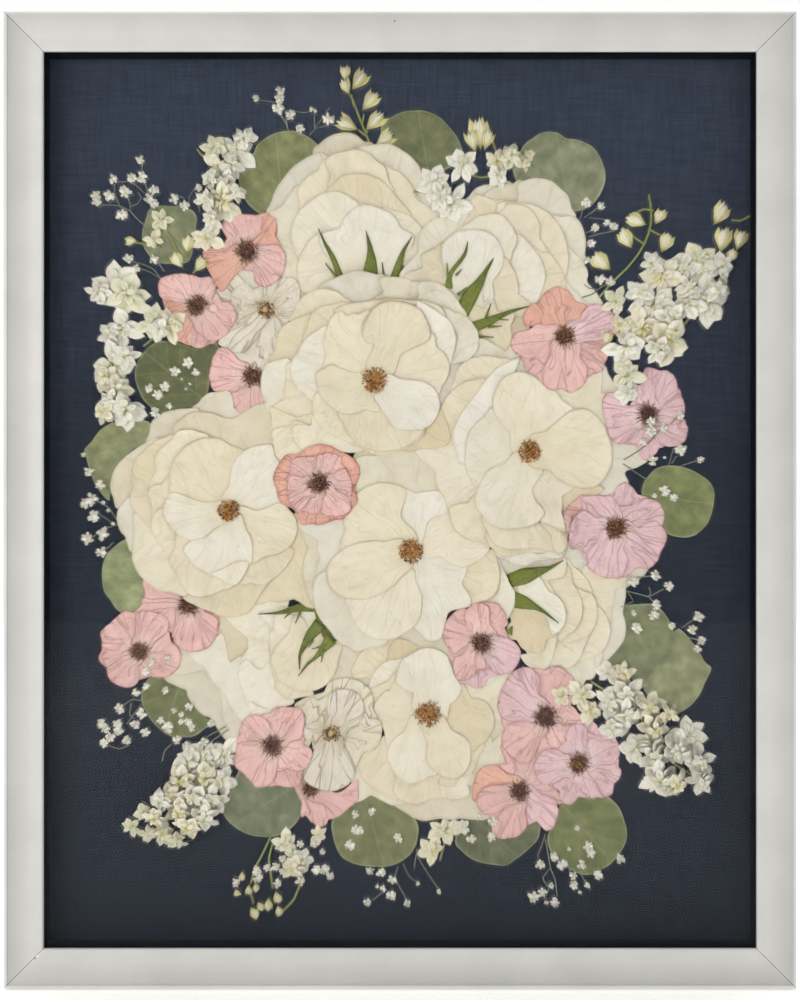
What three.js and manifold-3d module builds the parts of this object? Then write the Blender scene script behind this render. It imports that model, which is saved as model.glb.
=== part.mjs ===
// Pressed flower frame: a shadow box with nine roses, two small white flowers, fifteen pink flowers,
// fifteen eucalyptus leaves and seven larkspur sprigs, pressed flat and laid on a linen panel.
//
// Millimetres. Everything is modelled as seen from the front: x right, y up and z towards the viewer,
// with z = 0 on the back of the rails. The last group stands that up, so that the finished part has
// +Z up and faces -Y, with its origin where the wall's nail meets the hanger.

import * as THREE from 'three';
import { mergeVertices } from 'three/addons/utils/BufferGeometryUtils.js';
import Module from 'manifold-3d';

const wasm = await Module();
wasm.setup();

// ---------------------------------------------------------------- driving dimensions

const GLASS_WIDTH = 406.4; // a 16 x 20 inch frame
const GLASS_HEIGHT = 508;
const CLEARANCE = 0.3; // between pieces that touch

const RAIL_WIDTH = 22;
const RAIL_DEPTH = 33;
const RABBET_WIDTH = 6.5;
const LIP_THICKNESS = 1.5;
const FLAT_WIDTH = 6; // the flat of the moulding's face, from the sight edge
const SCOOP_DEPTH = 2.6; // from the ridge down to that flat
const SCOOP_CURVE = 1.6; // above 1, the hollow runs out into the flat and is steepest at the ridge
const SCOOP_STEPS = 8;
const LIP_STEPS = 3; // in the rounding of the sight edge
const GROOVE_DEPTH = 0.5; // between the hollow and the bead along the outside
const OUTER_BEAD = [[0, 3.5], [0.6, 1.4], [1.7, 0.2], [2.6, 0]]; // in from the outer face, and down

const BOARD_INSET = 1.5; // the back board lies this far inside the rails' back
const BOARD_THICKNESS = 3;
const PANEL_THICKNESS = 5;
const SPACER_THICKNESS = 6;
const SPACER_DEPTH = 15;
const GLASS_THICKNESS = 2;

const HANGER_LENGTH = 45;
const HANGER_HEIGHT = 10;
const HANGER_THICKNESS = 1;
const HANGER_BELOW_TOP = 4;
const TOOTH_DEPTH = 2;
const TOOTH_COUNT = 9;

const LEAF_THICKNESS = 0.9;
const ROSE_THICKNESS = 3.2;
const ROSE_LAYERS = 5;
const SMALL_FLOWER_LAYERS = 2;
const WHITE_FLOWER_THICKNESS = 2.2;
const PINK_FLOWER_THICKNESS = 1.8;
const FLORET_THICKNESS = 1.5;
const FLORET_PETALS = 4;
const FLORET_NOTCH = 0.66; // how far out the notch between two petals lies, as a share of their reach
const STEM_WIDTH = 1.7;
const FLAT_ENOUGH = 0.25; // corners that stand out by less than this are left out
const ROSE_GAP = 8; // narrower gaps between a rose's petals show the petals behind them
const SMALL_FLOWER_GAP = 4;
const BACK_PETAL_INSET = 1; // how far inside the flower's outline the petals at the back end
const STAMEN_HEIGHT = 1; // above the petals around them
const STAMEN_SIDES = 7;
const SEPAL_HEIGHT = 0.5;

// The flowers are laid out on a drawing that counts right and down from its corner in this unit.
const DRAWING_UNIT = 0.56;
const DRAWING_CENTRE_X = 400;
const DRAWING_CENTRE_Y = 499.5;

// ---------------------------------------------------------------- sizes worked out from those

const SIGHT_WIDTH = GLASS_WIDTH + 2 * (CLEARANCE - RABBET_WIDTH);
const SIGHT_HEIGHT = GLASS_HEIGHT + 2 * (CLEARANCE - RABBET_WIDTH);
const FRAME_HEIGHT = SIGHT_HEIGHT + 2 * RAIL_WIDTH;

const BOARD_BACK = BOARD_INSET;
const PANEL_BACK = BOARD_BACK + BOARD_THICKNESS + CLEARANCE;
const PANEL_FRONT = PANEL_BACK + PANEL_THICKNESS;
const SPACER_BACK = PANEL_FRONT + CLEARANCE;
const GLASS_BACK = SPACER_BACK + SPACER_DEPTH + CLEARANCE;
const LIP_BACK = GLASS_BACK + GLASS_THICKNESS + CLEARANCE;
const LIP_FRONT = LIP_BACK + LIP_THICKNESS;

// ---------------------------------------------------------------- finishes

function finish(color, roughness, metalness = 0) {
  return new THREE.MeshStandardMaterial({ color, roughness, metalness });
}

const PAINTED_WOOD = finish('#d6d5d0', 0.45);
const CLEAR_GLASS = finish('#eef3f4', 0.05);
const NAVY_LINEN = finish('#2a3340', 0.95);
const NAVY_CARD = finish('#10151f', 0.9);
const HARDBOARD = finish('#8a6a48', 0.8);
const ZINC_STEEL = finish('#b9bcc0', 0.4, 1);
const CREAM_PETAL = finish('#e6dfcb', 0.75);
const PINK_PETAL = finish('#deb2b4', 0.75);
const GREEN_LEAF = finish('#7f8560', 0.8);
const WHITE_FLORET = finish('#e8e6d6', 0.8);

// ---------------------------------------------------------------- solids

// A closed geometry as a solid that can be joined and cut.
function solidOf(geometry) {
  const bare = geometry.clone();
  bare.deleteAttribute('normal');
  bare.deleteAttribute('uv');
  const merged = mergeVertices(bare, 1e-4);
  return new wasm.Manifold(
    new wasm.Mesh({
      numProp: 3,
      vertProperties: new Float32Array(merged.attributes.position.array),
      triVerts: new Uint32Array(merged.index.array),
    }),
  );
}

function geometryOf(solid) {
  const mesh = solid.getMesh();
  const geometry = new THREE.BufferGeometry();
  geometry.setAttribute('position', new THREE.BufferAttribute(mesh.vertProperties, 3));
  geometry.setIndex(new THREE.BufferAttribute(mesh.triVerts, 1));
  geometry.computeVertexNormals();
  return geometry;
}

function union(solids) {
  return solids.reduce((whole, solid) => whole.add(solid)).asOriginal().simplify(FLAT_ENOUGH);
}

// Points written as "x,y x,y" in drawing units, as places on the panel in millimetres.
function placesOf(text) {
  return text.split(' ').map((pair) => {
    const [x, y] = pair.split(',').map(Number);
    return new THREE.Vector2(
      (x - DRAWING_CENTRE_X) * DRAWING_UNIT,
      (DRAWING_CENTRE_Y - y) * DRAWING_UNIT,
    );
  });
}

// A flat column over an outline, from z = 0 up to its height.
function column(places, height) {
  const shape = new THREE.Shape(places);
  return solidOf(new THREE.ExtrudeGeometry(shape, { depth: height, bevelEnabled: false }));
}

// A cluster of stamens, as a round patch with a few sides.
function patch([x, y], radius, height) {
  const [middle] = placesOf(`${x},${y}`);
  const disc = new THREE.CylinderGeometry(radius, radius, height, STAMEN_SIDES);
  disc.rotateX(Math.PI / 2);
  disc.translate(middle.x, middle.y, height / 2);
  return solidOf(disc);
}

// A pointed sliver from a base point to a tip, such as a sepal.
function sliver([baseX, baseY], [tipX, tipY], width, height) {
  const [base, tip] = placesOf(`${baseX},${baseY} ${tipX},${tipY}`);
  const side = new THREE.Vector2(base.y - tip.y, tip.x - base.x).setLength((width / 2) * DRAWING_UNIT);
  const left = base.clone().add(side);
  const right = base.clone().sub(side);
  return column([left, right, tip], height);
}

// A stem of even width along its points.
function stem(text) {
  const places = placesOf(text);
  const half = STEM_WIDTH / 2;
  const lefts = [];
  const rights = [];
  places.forEach((place, index) => {
    const before = places[Math.max(index - 1, 0)];
    const after = places[Math.min(index + 1, places.length - 1)];
    const side = new THREE.Vector2(before.y - after.y, after.x - before.x).setLength(half);
    lefts.push(place.clone().add(side));
    rights.unshift(place.clone().sub(side));
  });
  return column([...lefts, ...rights], FLORET_THICKNESS);
}

// An open floret seen from the front: a star of blunt petals.
function floret([x, y], radius, turn) {
  const [middle] = placesOf(`${x},${y}`);
  const corners = [];
  for (let corner = 0; corner < FLORET_PETALS * 2; corner += 1) {
    const reach = radius * DRAWING_UNIT * (corner % 2 === 0 ? 1 : FLORET_NOTCH);
    const angle = turn + (corner * Math.PI) / FLORET_PETALS;
    corners.push(new THREE.Vector2(reach * Math.cos(angle), reach * Math.sin(angle)).add(middle));
  }
  return column(corners, FLORET_THICKNESS);
}

// The petals right at the back, which show only through the gaps between the others.
function backPetals(outlines, gap, height) {
  const shapes = outlines.map((text) => {
    const corners = placesOf(text).map(({ x, y }) => [x, y]);
    return new wasm.CrossSection([corners], 'NonZero');
  });
  const closed = wasm.CrossSection.union(shapes).offset(gap / 2, 'Miter');
  return closed.offset(-gap / 2 - BACK_PETAL_INSET, 'Miter').simplify(BACK_PETAL_INSET).extrude(height);
}

// Petals in the order that they lie, layer upon layer. Each column goes down to the flower's underside,
// so the flower is one solid with its petals as terraces.
function layeredPetals(outlines, layers, gap, thickness) {
  const rise = thickness / (layers + 1);
  const petals = outlines.map((text, index) => {
    const layer = Math.ceil(((index + 1) * layers) / outlines.length);
    return column(placesOf(text), rise * (layer + 1));
  });
  return [backPetals(outlines, gap, rise), ...petals];
}

function roseSolid({ petals, stamens, sepals = [] }) {
  const parts = layeredPetals(petals, ROSE_LAYERS, ROSE_GAP, ROSE_THICKNESS);
  if (stamens) {
    parts.push(patch(stamens.at, stamens.radius * DRAWING_UNIT, ROSE_THICKNESS + STAMEN_HEIGHT));
  }
  for (const [base, tip, width] of sepals) {
    parts.push(sliver(base, tip, width, ROSE_THICKNESS + SEPAL_HEIGHT));
  }
  return union(parts);
}

function smallFlowerSolid({ petals, stamens }, thickness) {
  const parts = layeredPetals(petals, SMALL_FLOWER_LAYERS, SMALL_FLOWER_GAP, thickness);
  parts.push(patch(stamens.at, stamens.radius * DRAWING_UNIT, thickness + STAMEN_HEIGHT / 2));
  return union(parts);
}

function sprigSolid({ stems, florets }) {
  const parts = stems.map(stem);
  florets.forEach(([x, y, radius], index) => {
    parts.push(floret([x, y], radius, index));
  });
  return union(parts);
}

// ---------------------------------------------------------------- the roses

const ROSES = {
  rose_upper_left: {
    petals: [
      '316,150 320,141 329,134 341,131 354,133 364,140 371,150 372,190 330,190',
      '326,158 315,153 303,157 292,165 274,190 270,204 271,222 277,242 286,262 302,290 350,200',
      '360,152 369,145 381,142 394,144 407,151 417,161 424,174 426,190 418,206 380,215',
      '398,203 408,197 419,198 427,206 432,217 428,226 415,240 390,235',
      '302,188 291,192 283,200 277,224 278,238 286,254 300,268 345,262 345,205',
      '297,192 300,182 318,169 330,168 341,172 352,184 350,220 310,215',
      '324,160 332,153 343,149 356,148 368,151 385,166 389,180 388,200 365,215 338,200',
      '330,200 333,184 340,176 352,172 366,173 380,178 392,189 403,203 406,218 380,232 345,222',
      '395,266 404,255 415,251 421,259 424,272 421,284 405,286 390,280',
      '381,215 394,209 406,212 416,219 424,230 421,247 411,262 394,272 372,262',
      '300,253 293,245 290,234 292,221 298,210 318,194 331,190 342,191 353,200 360,225 340,262',
      '315,236 305,244 296,267 298,280 304,292 335,292 352,272 345,245',
      '343,268 336,256 335,242 338,229 346,214 357,205 368,203 391,211 399,222 402,235 392,264',
    ],
    sepals: [
      [[340, 275], [318, 227], 7],
      [[370, 273], [366, 231], 17],
      [[396, 277], [412, 235], 10],
    ],
  },
  rose_upper_right: {
    petals: [
      '468,200 474,188 484,183 498,182 510,186 515,200 500,215 475,212',
      '492,190 500,183 524,184 545,203 540,225 501,215',
      '517,184 527,178 539,176 552,179 569,194 572,216 560,232 535,225',
      '555,218 573,214 580,219 587,241 585,255 578,262 560,262 550,235',
      '560,252 570,250 580,255 589,272 586,283 572,292 560,288 552,265',
      '565,288 575,289 584,303 583,315 570,325 550,320 552,295',
      '420,257 418,244 420,232 432,218 456,212 466,215 472,225 470,245 455,262',
      '418,258 436,247 446,246 455,255 455,285 445,295 432,285',
      '471,196 484,194 501,201 509,216 510,228 490,240 470,225',
      '500,203 510,200 536,204 546,209 560,224 566,236 569,250 562,272 545,262 505,222',
      '505,205 515,202 527,205 535,212 540,223 540,235 534,247 515,255 500,235',
      '535,247 548,251 560,264 567,285 560,300 545,300',
      '510,240 525,238 541,257 546,275 541,295 537,300 520,310 505,290 500,255',
      '466,228 476,216 494,212 503,214 514,228 517,240 500,262 480,250',
      '503,261 515,270 519,290 517,300 507,313 495,316 480,312 473,305',
      '441,247 452,233 472,228 485,230 495,235 501,244 504,258 497,275 470,300 446,270',
      '472,320 490,315 505,318 512,330 512,345 500,352 480,350',
    ],
    sepals: [
      [[449, 287], [447, 262], 8],
      [[452, 272], [468, 240], 5],
      [[463, 310], [494, 257], 16],
      [[478, 324], [530, 305], 12],
    ],
  },
  rose_lower_left: {
    petals: [
      '192,664 186,685 190,703 205,717 222,718 222,695 215,670',
      '222,692 222,717 226,727 236,732 250,715 248,702',
      '191,656 200,670 225,680 228,665 224,650 218,645',
      '219,617 232,618 245,615 240,630 228,645 220,645',
      '226,640 229,628 241,619 247,625 245,658 232,668',
      '206,660 212,650 222,647 234,672 238,690 247,702 235,701 225,695 208,675',
      '245,617 250,612 270,622 268,640 272,673 253,668 249,655',
      '247,658 253,667 275,680 290,700 283,708 270,711 250,703 243,695 237,672',
      '276,675 274,687 288,700 310,695 300,685',
      '256,613 270,610 305,612 315,617 312,630 288,633 264,621',
      '270,632 280,628 290,632 292,645 278,665 273,668 268,642',
      '270,660 281,640 290,633 315,640 330,640 337,650 338,662 326,685 303,692 279,681',
    ],
    sepals: [
      [[314, 607], [258, 614], 13],
      [[318, 624], [296, 664], 15],
      [[332, 640], [301, 672], 15],
      [[322, 608], [334, 646], 20],
    ],
  },
  rose_lower_right: {
    petals: [
      '563,556 585,563 597,570 600,580 585,590 570,575',
      '597,575 608,578 626,579 627,588 618,606 605,610 595,595',
      '605,612 612,607 620,609 625,617 627,629 625,640 618,650 604,664 596,660 595,630',
      '572,668 580,662 603,655 601,665 592,680 580,679',
      '592,580 600,577 609,579 616,596 614,607 608,616 598,612',
      '597,612 604,612 611,630 609,642 598,656 588,658 580,655',
      '557,642 583,638 585,645 582,655 571,668 564,668 559,660',
      '563,560 570,563 587,578 590,593 580,595 555,570',
      '590,592 596,600 597,622 585,638 565,638 575,595',
      '550,578 562,578 573,583 580,594 583,605 582,618 570,634 560,632 550,600',
      '520,655 530,655 543,640 553,636 556,645 554,656 545,671 528,666',
      '512,612 540,612 547,620 545,648 540,653 528,652 514,630',
      '513,588 540,574 564,560 567,565 563,578 550,580 535,590',
      '522,600 541,590 551,592 560,598 565,607 566,618 563,628 551,634 548,620',
    ],
    sepals: [
      [[510, 580], [562, 561], 20],
      [[515, 601], [558, 623], 20],
    ],
  },
  rose_left: {
    petals: [
      '148,440 149,425 162,412 186,408 195,410 190,430 170,445',
      '196,412 198,402 206,393 230,392 232,415 215,420',
      '174,428 180,418 189,412 200,411 224,417 246,418 263,433 270,445 238,456 185,440',
      '155,440 143,443 122,458 113,469 110,491 115,500 135,500 160,455',
      '130,501 119,506 116,514 121,533 135,538 140,520',
      '258,585 262,597 275,602 290,600 308,590 300,548 262,560',
      '186,596 195,605 225,617 240,616 251,609 258,598 262,575 200,575',
      '145,520 137,525 132,537 131,560 135,570 153,588 178,594 186,590 165,530',
      '243,580 262,585 281,572 293,552 255,550',
      '145,478 135,483 130,492 129,503 142,519 150,524 160,485',
      '133,476 131,467 134,458 150,444 160,438 172,438 180,445 155,485',
      '156,472 153,462 163,445 184,429 195,430 204,440 170,487',
      '152,512 147,500 150,487 168,485 172,492 165,505 163,518',
      '150,525 154,538 162,549 172,557 185,558 195,550 175,515 155,512',
      '168,556 170,566 188,594 197,597 210,595 228,585 225,570 180,545',
      '171,490 169,472 175,456 190,442 199,438 220,438 236,453 229,485 232,500 190,505',
      '230,490 231,466 236,457 252,446 272,444 279,462 280,500 252,511',
      '240,515 280,502 290,510 297,522 296,535 284,551 272,555 253,556',
      '182,548 193,566 201,571 237,563 252,555 249,535 240,516 215,520',
      '210,573 235,562 248,562 240,580 234,585',
      '170,492 162,508 168,525 183,538 193,540 212,530 226,515 222,503',
    ],
    stamens: { at: [228, 510], radius: 13 },
  },
  rose_bottom: {
    petals: [
      '396,803 412,818 424,822 440,820 455,821 477,808 475,795 410,798',
      '475,752 487,750 496,755 507,769 503,773 490,772 478,775',
      '462,690 470,682 480,685 490,678 495,690 491,700 480,705',
      '357,760 355,770 358,785 364,792 385,803 395,806 405,795 385,770',
      '355,757 362,778 370,787 392,797 400,790 385,752 368,750',
      '351,672 360,654 370,645 382,640 395,640 400,650 395,665 365,678',
      '388,650 396,640 405,640 415,645 420,655 412,662 390,660',
      '370,688 371,678 384,663 394,660 400,668 398,680',
      '369,692 380,685 392,682 400,690 390,705 375,705',
      '393,790 396,797 413,805 424,803 440,794 443,785 430,775',
      '440,795 443,790 465,785 470,790 468,797 460,800',
      '470,775 478,760 478,750 470,745 450,770 440,785',
      '372,712 383,693 400,692 412,695 417,722 393,737 387,735',
      '443,706 455,702 478,699 487,703 493,711 495,722 486,742 477,747 447,727',
      '396,684 401,661 409,655 430,648 441,651 448,657 455,676 462,687 460,696 428,714',
      '418,716 391,743 387,752 388,762 400,780 409,785 428,779 430,765 430,716',
      '429,735 426,756 428,765 446,778 456,779 464,774 470,765 470,743 462,736 440,727',
    ],
    stamens: { at: [428, 714], radius: 14 },
  },
  rose_lower_middle: {
    petals: [
      '380,468 384,457 394,452 408,450 422,451 432,456 438,465 430,480 383,478',
      '376,475 382,465 396,470 425,464 436,468 446,492 430,498 378,488',
      '340,518 330,522 307,550 302,572 308,594 315,602 345,560',
      '345,520 333,522 323,528 317,547 325,566 355,540',
      '318,577 313,586 312,597 315,609 337,640 357,652 370,648 385,640 345,575',
      '497,560 515,592 515,604 507,620 490,618 480,590',
      '455,560 483,558 493,552 500,575 497,590 487,600 475,600',
      '428,560 440,562 452,572 471,597 470,607 450,612 440,640 415,620',
      '423,530 440,516 452,513 475,530 488,543 490,550 484,558 460,567 432,551',
      '404,536 401,515 408,497 416,493 437,490 447,495 452,505 432,518 420,538',
      '352,540 343,525 346,510 357,493 365,487 388,482 407,491 401,512 404,538 365,543',
      '405,572 412,575 417,583 422,600 420,617 404,634 381,640 358,629 349,606 352,595',
      '402,545 367,541 350,545 337,553 328,564 326,576 331,589 343,597 358,600 388,590 408,567',
    ],
    stamens: { at: [411, 551], radius: 12 },
  },
  rose_right: {
    petals: [
      '575,372 590,368 602,368 610,374 615,384 614,400 600,415',
      '596,440 612,441 621,453 625,466 626,480 619,493 605,500 590,490',
      '572,391 585,388 601,400 606,420 600,440 570,430',
      '452,441 438,455 435,478 438,488 452,504 462,508 478,470',
      '450,506 453,526 470,540 492,540 500,530 490,515',
      '500,548 508,561 527,565 543,554 540,546',
      '536,548 549,557 558,558 565,554 567,547 560,540',
      '488,540 494,550 505,556 540,549 545,535 501,530',
      '553,528 567,530 568,541 564,551 557,552 552,543',
      '486,520 491,539 498,546 508,549 536,547 546,541 553,526 500,510',
      '545,480 580,492 598,490 575,510 566,520 568,528 545,500',
      '455,388 458,368 465,360 475,356 500,357 508,362 480,400',
      '441,420 441,409 453,389 473,379 482,382 465,420 450,440',
      '522,360 498,366 488,377 467,405 458,419 453,433 455,446 463,460 490,425 510,378',
      '489,417 480,419 473,426 466,445 466,468 470,477 477,480 510,465 527,455 505,431',
      '530,465 545,470 556,478 562,490 562,515 569,528 556,527 535,505',
      '520,441 500,421 493,405 496,389 510,373 531,373 558,391 562,408 551,430 531,445',
      '500,465 486,473 480,483 475,500 484,517 502,528 530,526 545,511 534,495 528,465',
      '540,438 558,420 578,408 588,408 604,423 613,450 613,462 603,481 583,488 557,477 543,460',
    ],
    stamens: { at: [530, 451], radius: 12 },
  },
  rose_middle: {
    petals: [
      '322,286 333,278 353,270 364,270 384,279 393,288 398,298 350,320',
      '376,281 388,276 408,278 423,292 425,302 390,300',
      '417,285 426,280 446,286 459,301 462,310 458,322 425,305',
      '445,312 455,311 466,315 478,331 479,342 476,352 468,359 458,360',
      '293,316 295,305 309,291 320,288 332,289 343,295 348,305 315,330',
      '278,331 285,323 296,317 312,325 308,345 298,360 288,364 280,355',
      '268,361 262,370 260,383 267,405 287,417 298,410 295,380',
      '287,366 283,392 290,415 300,424 315,430 325,428 320,400 298,366',
      '270,412 272,425 285,438 295,440 305,435 300,420',
      '272,430 273,445 277,458 290,462 305,455 320,445 310,430',
      '293,424 292,436 297,445 305,450 345,450 350,440 330,430',
      '345,440 370,452 382,455 408,447 420,428 370,415',
      '406,444 440,449 450,440 448,425 440,412',
      '305,335 310,315 317,308 327,304 340,304 350,310 325,335',
      '338,312 345,304 360,301 395,298 425,300 440,308 430,330',
      '418,303 430,306 450,320 456,338 450,358 440,365 425,330',
      '325,329 308,335 291,362 290,372 298,389 307,393 332,360',
      '315,396 313,415 318,424 335,436 352,440 342,412',
      '344,410 347,432 355,441 378,451 392,450 414,440 420,430 392,405 375,397',
      '392,361 413,347 425,344 437,346 446,354 450,370 446,380 438,389 405,385 390,375',
      '347,315 333,314 325,333 323,345 330,361 351,373 365,368 375,360 372,345',
      '362,332 370,312 388,301 412,304 427,319 430,338 408,349 385,366',
      '331,363 315,373 316,383 323,399 340,412 350,414 368,404 375,396 368,385 352,371',
      '376,399 392,424 412,430 422,429 437,416 440,406 434,387 412,379 388,382',
    ],
    stamens: { at: [374, 379], radius: 14 },
  },
};

// ---------------------------------------------------------------- the small flowers

const WHITE_FLOWERS = {
  white_flower_left: {
    petals: [
      '240,353 250,352 262,356 266,364 258,367 248,363',
      '254,325 262,323 278,330 279,345 276,354 268,358 258,356',
      '232,290 240,283 247,282 264,306 245,306 230,297',
      '262,290 280,277 292,276 299,285 299,300 292,315 284,323 264,310',
      '237,318 240,308 250,303 258,306 258,315 240,328',
      '217,341 225,333 254,319 256,328 247,348 240,352 230,350',
    ],
    stamens: { at: [265, 309], radius: 8 },
  },
  white_flower_bottom: {
    petals: [
      '322,716 320,705 330,682 345,678 360,682 370,690 373,700 360,715',
      '305,703 312,698 319,703 330,730 302,722',
      '303,743 300,735 305,727 325,719 330,725 325,733',
      '315,745 325,738 345,751 355,773 350,783 340,790 328,792 306,782 302,775',
      '340,728 370,719 379,720 382,730 380,742 373,750 348,755 338,738',
      '333,727 328,715 327,702 331,693 348,690 358,694 364,712 350,728',
    ],
    stamens: { at: [331, 734], radius: 8 },
  },
};

const PINK_FLOWERS = {
  pink_flower_01: {
    petals: [
      '236,250 218,246 203,248 202,258 214,282 221,291 240,268 246,258',
      '254,250 262,244 275,243 284,250 285,262 281,275 272,283 262,286 255,280',
      '230,240 223,232 221,222 226,215 250,213 275,217 275,228 270,241 255,247',
    ],
    stamens: { at: [246, 250], radius: 12 },
  },
  pink_flower_02: {
    petals: [
      '185,335 193,330 205,332 212,338 205,345 195,347',
      '165,310 175,305 185,310 195,330 188,340 178,341 168,336 163,325',
      '203,308 215,301 226,300 234,307 235,318 228,330 211,341 192,325',
      '158,280 166,274 190,273 210,275 215,285 213,295 205,302 178,301 160,296',
    ],
    stamens: { at: [196, 304], radius: 10 },
  },
  pink_flower_03: {
    petals: [
      '235,385 260,385 266,408 267,420 243,411 233,404',
      '245,368 228,348 219,346 213,355 209,368 209,382 214,390 235,390',
    ],
    stamens: { at: [252, 375], radius: 11 },
  },
  pink_flower_04: {
    petals: [
      '276,465 285,454 298,453 318,443 340,450 357,462 357,500 338,517 318,524 299,526 276,500',
      '288,463 300,455 330,450 345,462 350,485 345,503 320,514 300,510 288,495',
    ],
    stamens: { at: [319, 483], radius: 11 },
  },
  pink_flower_05: {
    petals: [
      '578,343 588,340 600,343 610,350 603,370 592,372 576,355',
      '525,362 548,350 555,350 543,378 535,374',
      '568,337 579,325 582,312 595,302 605,304 614,311 618,320 616,332 608,338',
      '540,300 545,292 555,286 565,287 573,295 578,308 575,330 555,325 530,326 524,315',
      '557,336 530,328 517,332 511,340 514,350 533,358 550,350',
      '557,348 544,367 544,378 548,388 570,392 586,382 589,370 583,358 566,340',
    ],
    stamens: { at: [566, 335], radius: 11 },
  },
  pink_flower_06: {
    petals: [
      '638,425 637,445 647,460 660,447 658,425',
      '645,372 650,366 670,370 677,378 679,390 672,400 655,405',
      '655,415 688,424 689,432 685,442 675,446 655,435',
      '656,405 668,393 678,392 685,400 686,412 682,422 660,424',
      '645,412 618,393 608,392 603,400 607,425 611,437 617,443 628,441 642,422',
      '638,398 640,385 650,378 655,385 657,405 642,408',
    ],
    stamens: { at: [649, 413], radius: 10 },
  },
  pink_flower_07: {
    petals: [
      '582,501 572,503 565,513 565,522 572,529 584,511',
      '617,518 613,495 620,485 628,482 641,499 628,520',
      '587,509 571,526 569,538 571,548 590,549 604,537 607,521',
      '625,525 630,508 640,500 650,498 660,502 665,512 664,521 638,532',
      '620,530 640,527 655,520 668,540 658,562 648,569 622,570',
      '582,496 592,495 614,497 620,508 612,524 589,512',
      '610,530 592,548 588,557 589,567 597,574 608,578 620,578 627,568 628,550 622,535',
    ],
    stamens: { at: [617, 528], radius: 12 },
  },
  pink_flower_08: {
    petals: [
      '466,672 480,655 488,680 482,688 474,688',
      '478,648 454,660 454,672 458,680 468,680 478,672 484,660',
      '480,650 465,613 449,618 444,628 444,640 450,650 468,652',
      '480,640 487,606 497,604 503,610 508,625 497,638',
      '478,640 466,613 472,605 488,606 490,620 488,640',
      '482,640 500,636 512,640 521,650 516,668 508,674 498,675 486,658',
    ],
    stamens: { at: [482, 644], radius: 10 },
  },
  pink_flower_09: {
    petals: [
      '186,605 147,583 140,603 145,612 165,622 175,618',
      '182,608 173,625 171,637 178,648 190,652 213,642 217,618 195,606',
    ],
    stamens: { at: [187, 605], radius: 10 },
  },
  pink_flower_10: {
    petals: [
      '140,652 105,650 100,657 107,678 115,685 125,688 135,685 140,670',
      '140,650 125,640 105,640 102,630 110,622 128,611 136,617',
      '140,655 155,643 165,640 175,645 180,655 178,667 170,675 160,678 148,675',
      '137,650 134,625 136,613 148,611 162,615 168,622 165,633 145,650',
    ],
    stamens: { at: [138, 652], radius: 8 },
  },
  pink_flower_11: {
    petals: [
      '272,750 275,775 270,783 280,787 293,788 300,783 300,772',
      '274,745 270,728 270,715 275,708 300,709 304,717 303,730 290,743',
      '278,748 295,743 312,752 310,762 303,770 293,772 280,760',
      '272,745 238,738 244,719 253,715 262,717 270,730',
      '270,745 238,743 234,766 257,789 268,786 275,778 277,760',
    ],
    stamens: { at: [272, 747], radius: 11 },
  },
  pink_flower_12: {
    petals: [
      '299,788 309,792 309,805 306,815 300,818',
      '308,795 318,800 328,815 326,825 318,828 312,822',
      '308,790 340,793 357,778 358,800 336,818 320,808',
    ],
    stamens: { at: [310, 793], radius: 6 },
  },
  pink_flower_15: {
    petals: [
      '500,758 512,755 518,765 522,785 510,782',
      '520,790 518,772 523,765 530,766 538,775 550,795 540,800',
      '522,795 540,825 547,832 555,827 559,812 545,796',
      '518,795 500,768 490,766 480,770 473,792 479,810 488,816 500,812',
      '520,795 498,818 492,828 495,838 505,840 517,838 526,830 528,820',
    ],
    stamens: { at: [520, 792], radius: 11 },
  },
  pink_flower_13: {
    petals: [
      '550,717 565,703 575,708 579,716 573,730 562,745 550,730',
      '546,715 541,688 543,675 551,667 560,667 576,682 575,692 568,700',
      '546,717 522,722 503,735 502,745 509,755 518,762 528,764 540,745',
      '542,720 545,732 538,745 545,752 555,752 565,740 562,725',
      '547,715 540,678 534,670 525,667 515,671 507,680 498,705 501,717 510,722 530,720',
    ],
    stamens: { at: [546, 717], radius: 13 },
  },
  pink_flower_14: {
    petals: [
      '580,764 577,750 568,745 567,735 580,724 590,721 599,735 590,755',
      '580,770 565,782 560,790 561,800 569,806 577,801 584,785',
      '580,766 590,768 613,766 622,770 613,795 603,797 590,785',
      '581,770 578,787 593,799 600,795 592,775',
      '582,764 598,737 607,733 615,737 621,748 620,758 612,766',
      '578,765 563,753 553,749 543,752 536,762 535,773 540,782 550,785 568,775',
    ],
    stamens: { at: [580, 764], radius: 10 },
  },
};

// ---------------------------------------------------------------- the leaves

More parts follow.
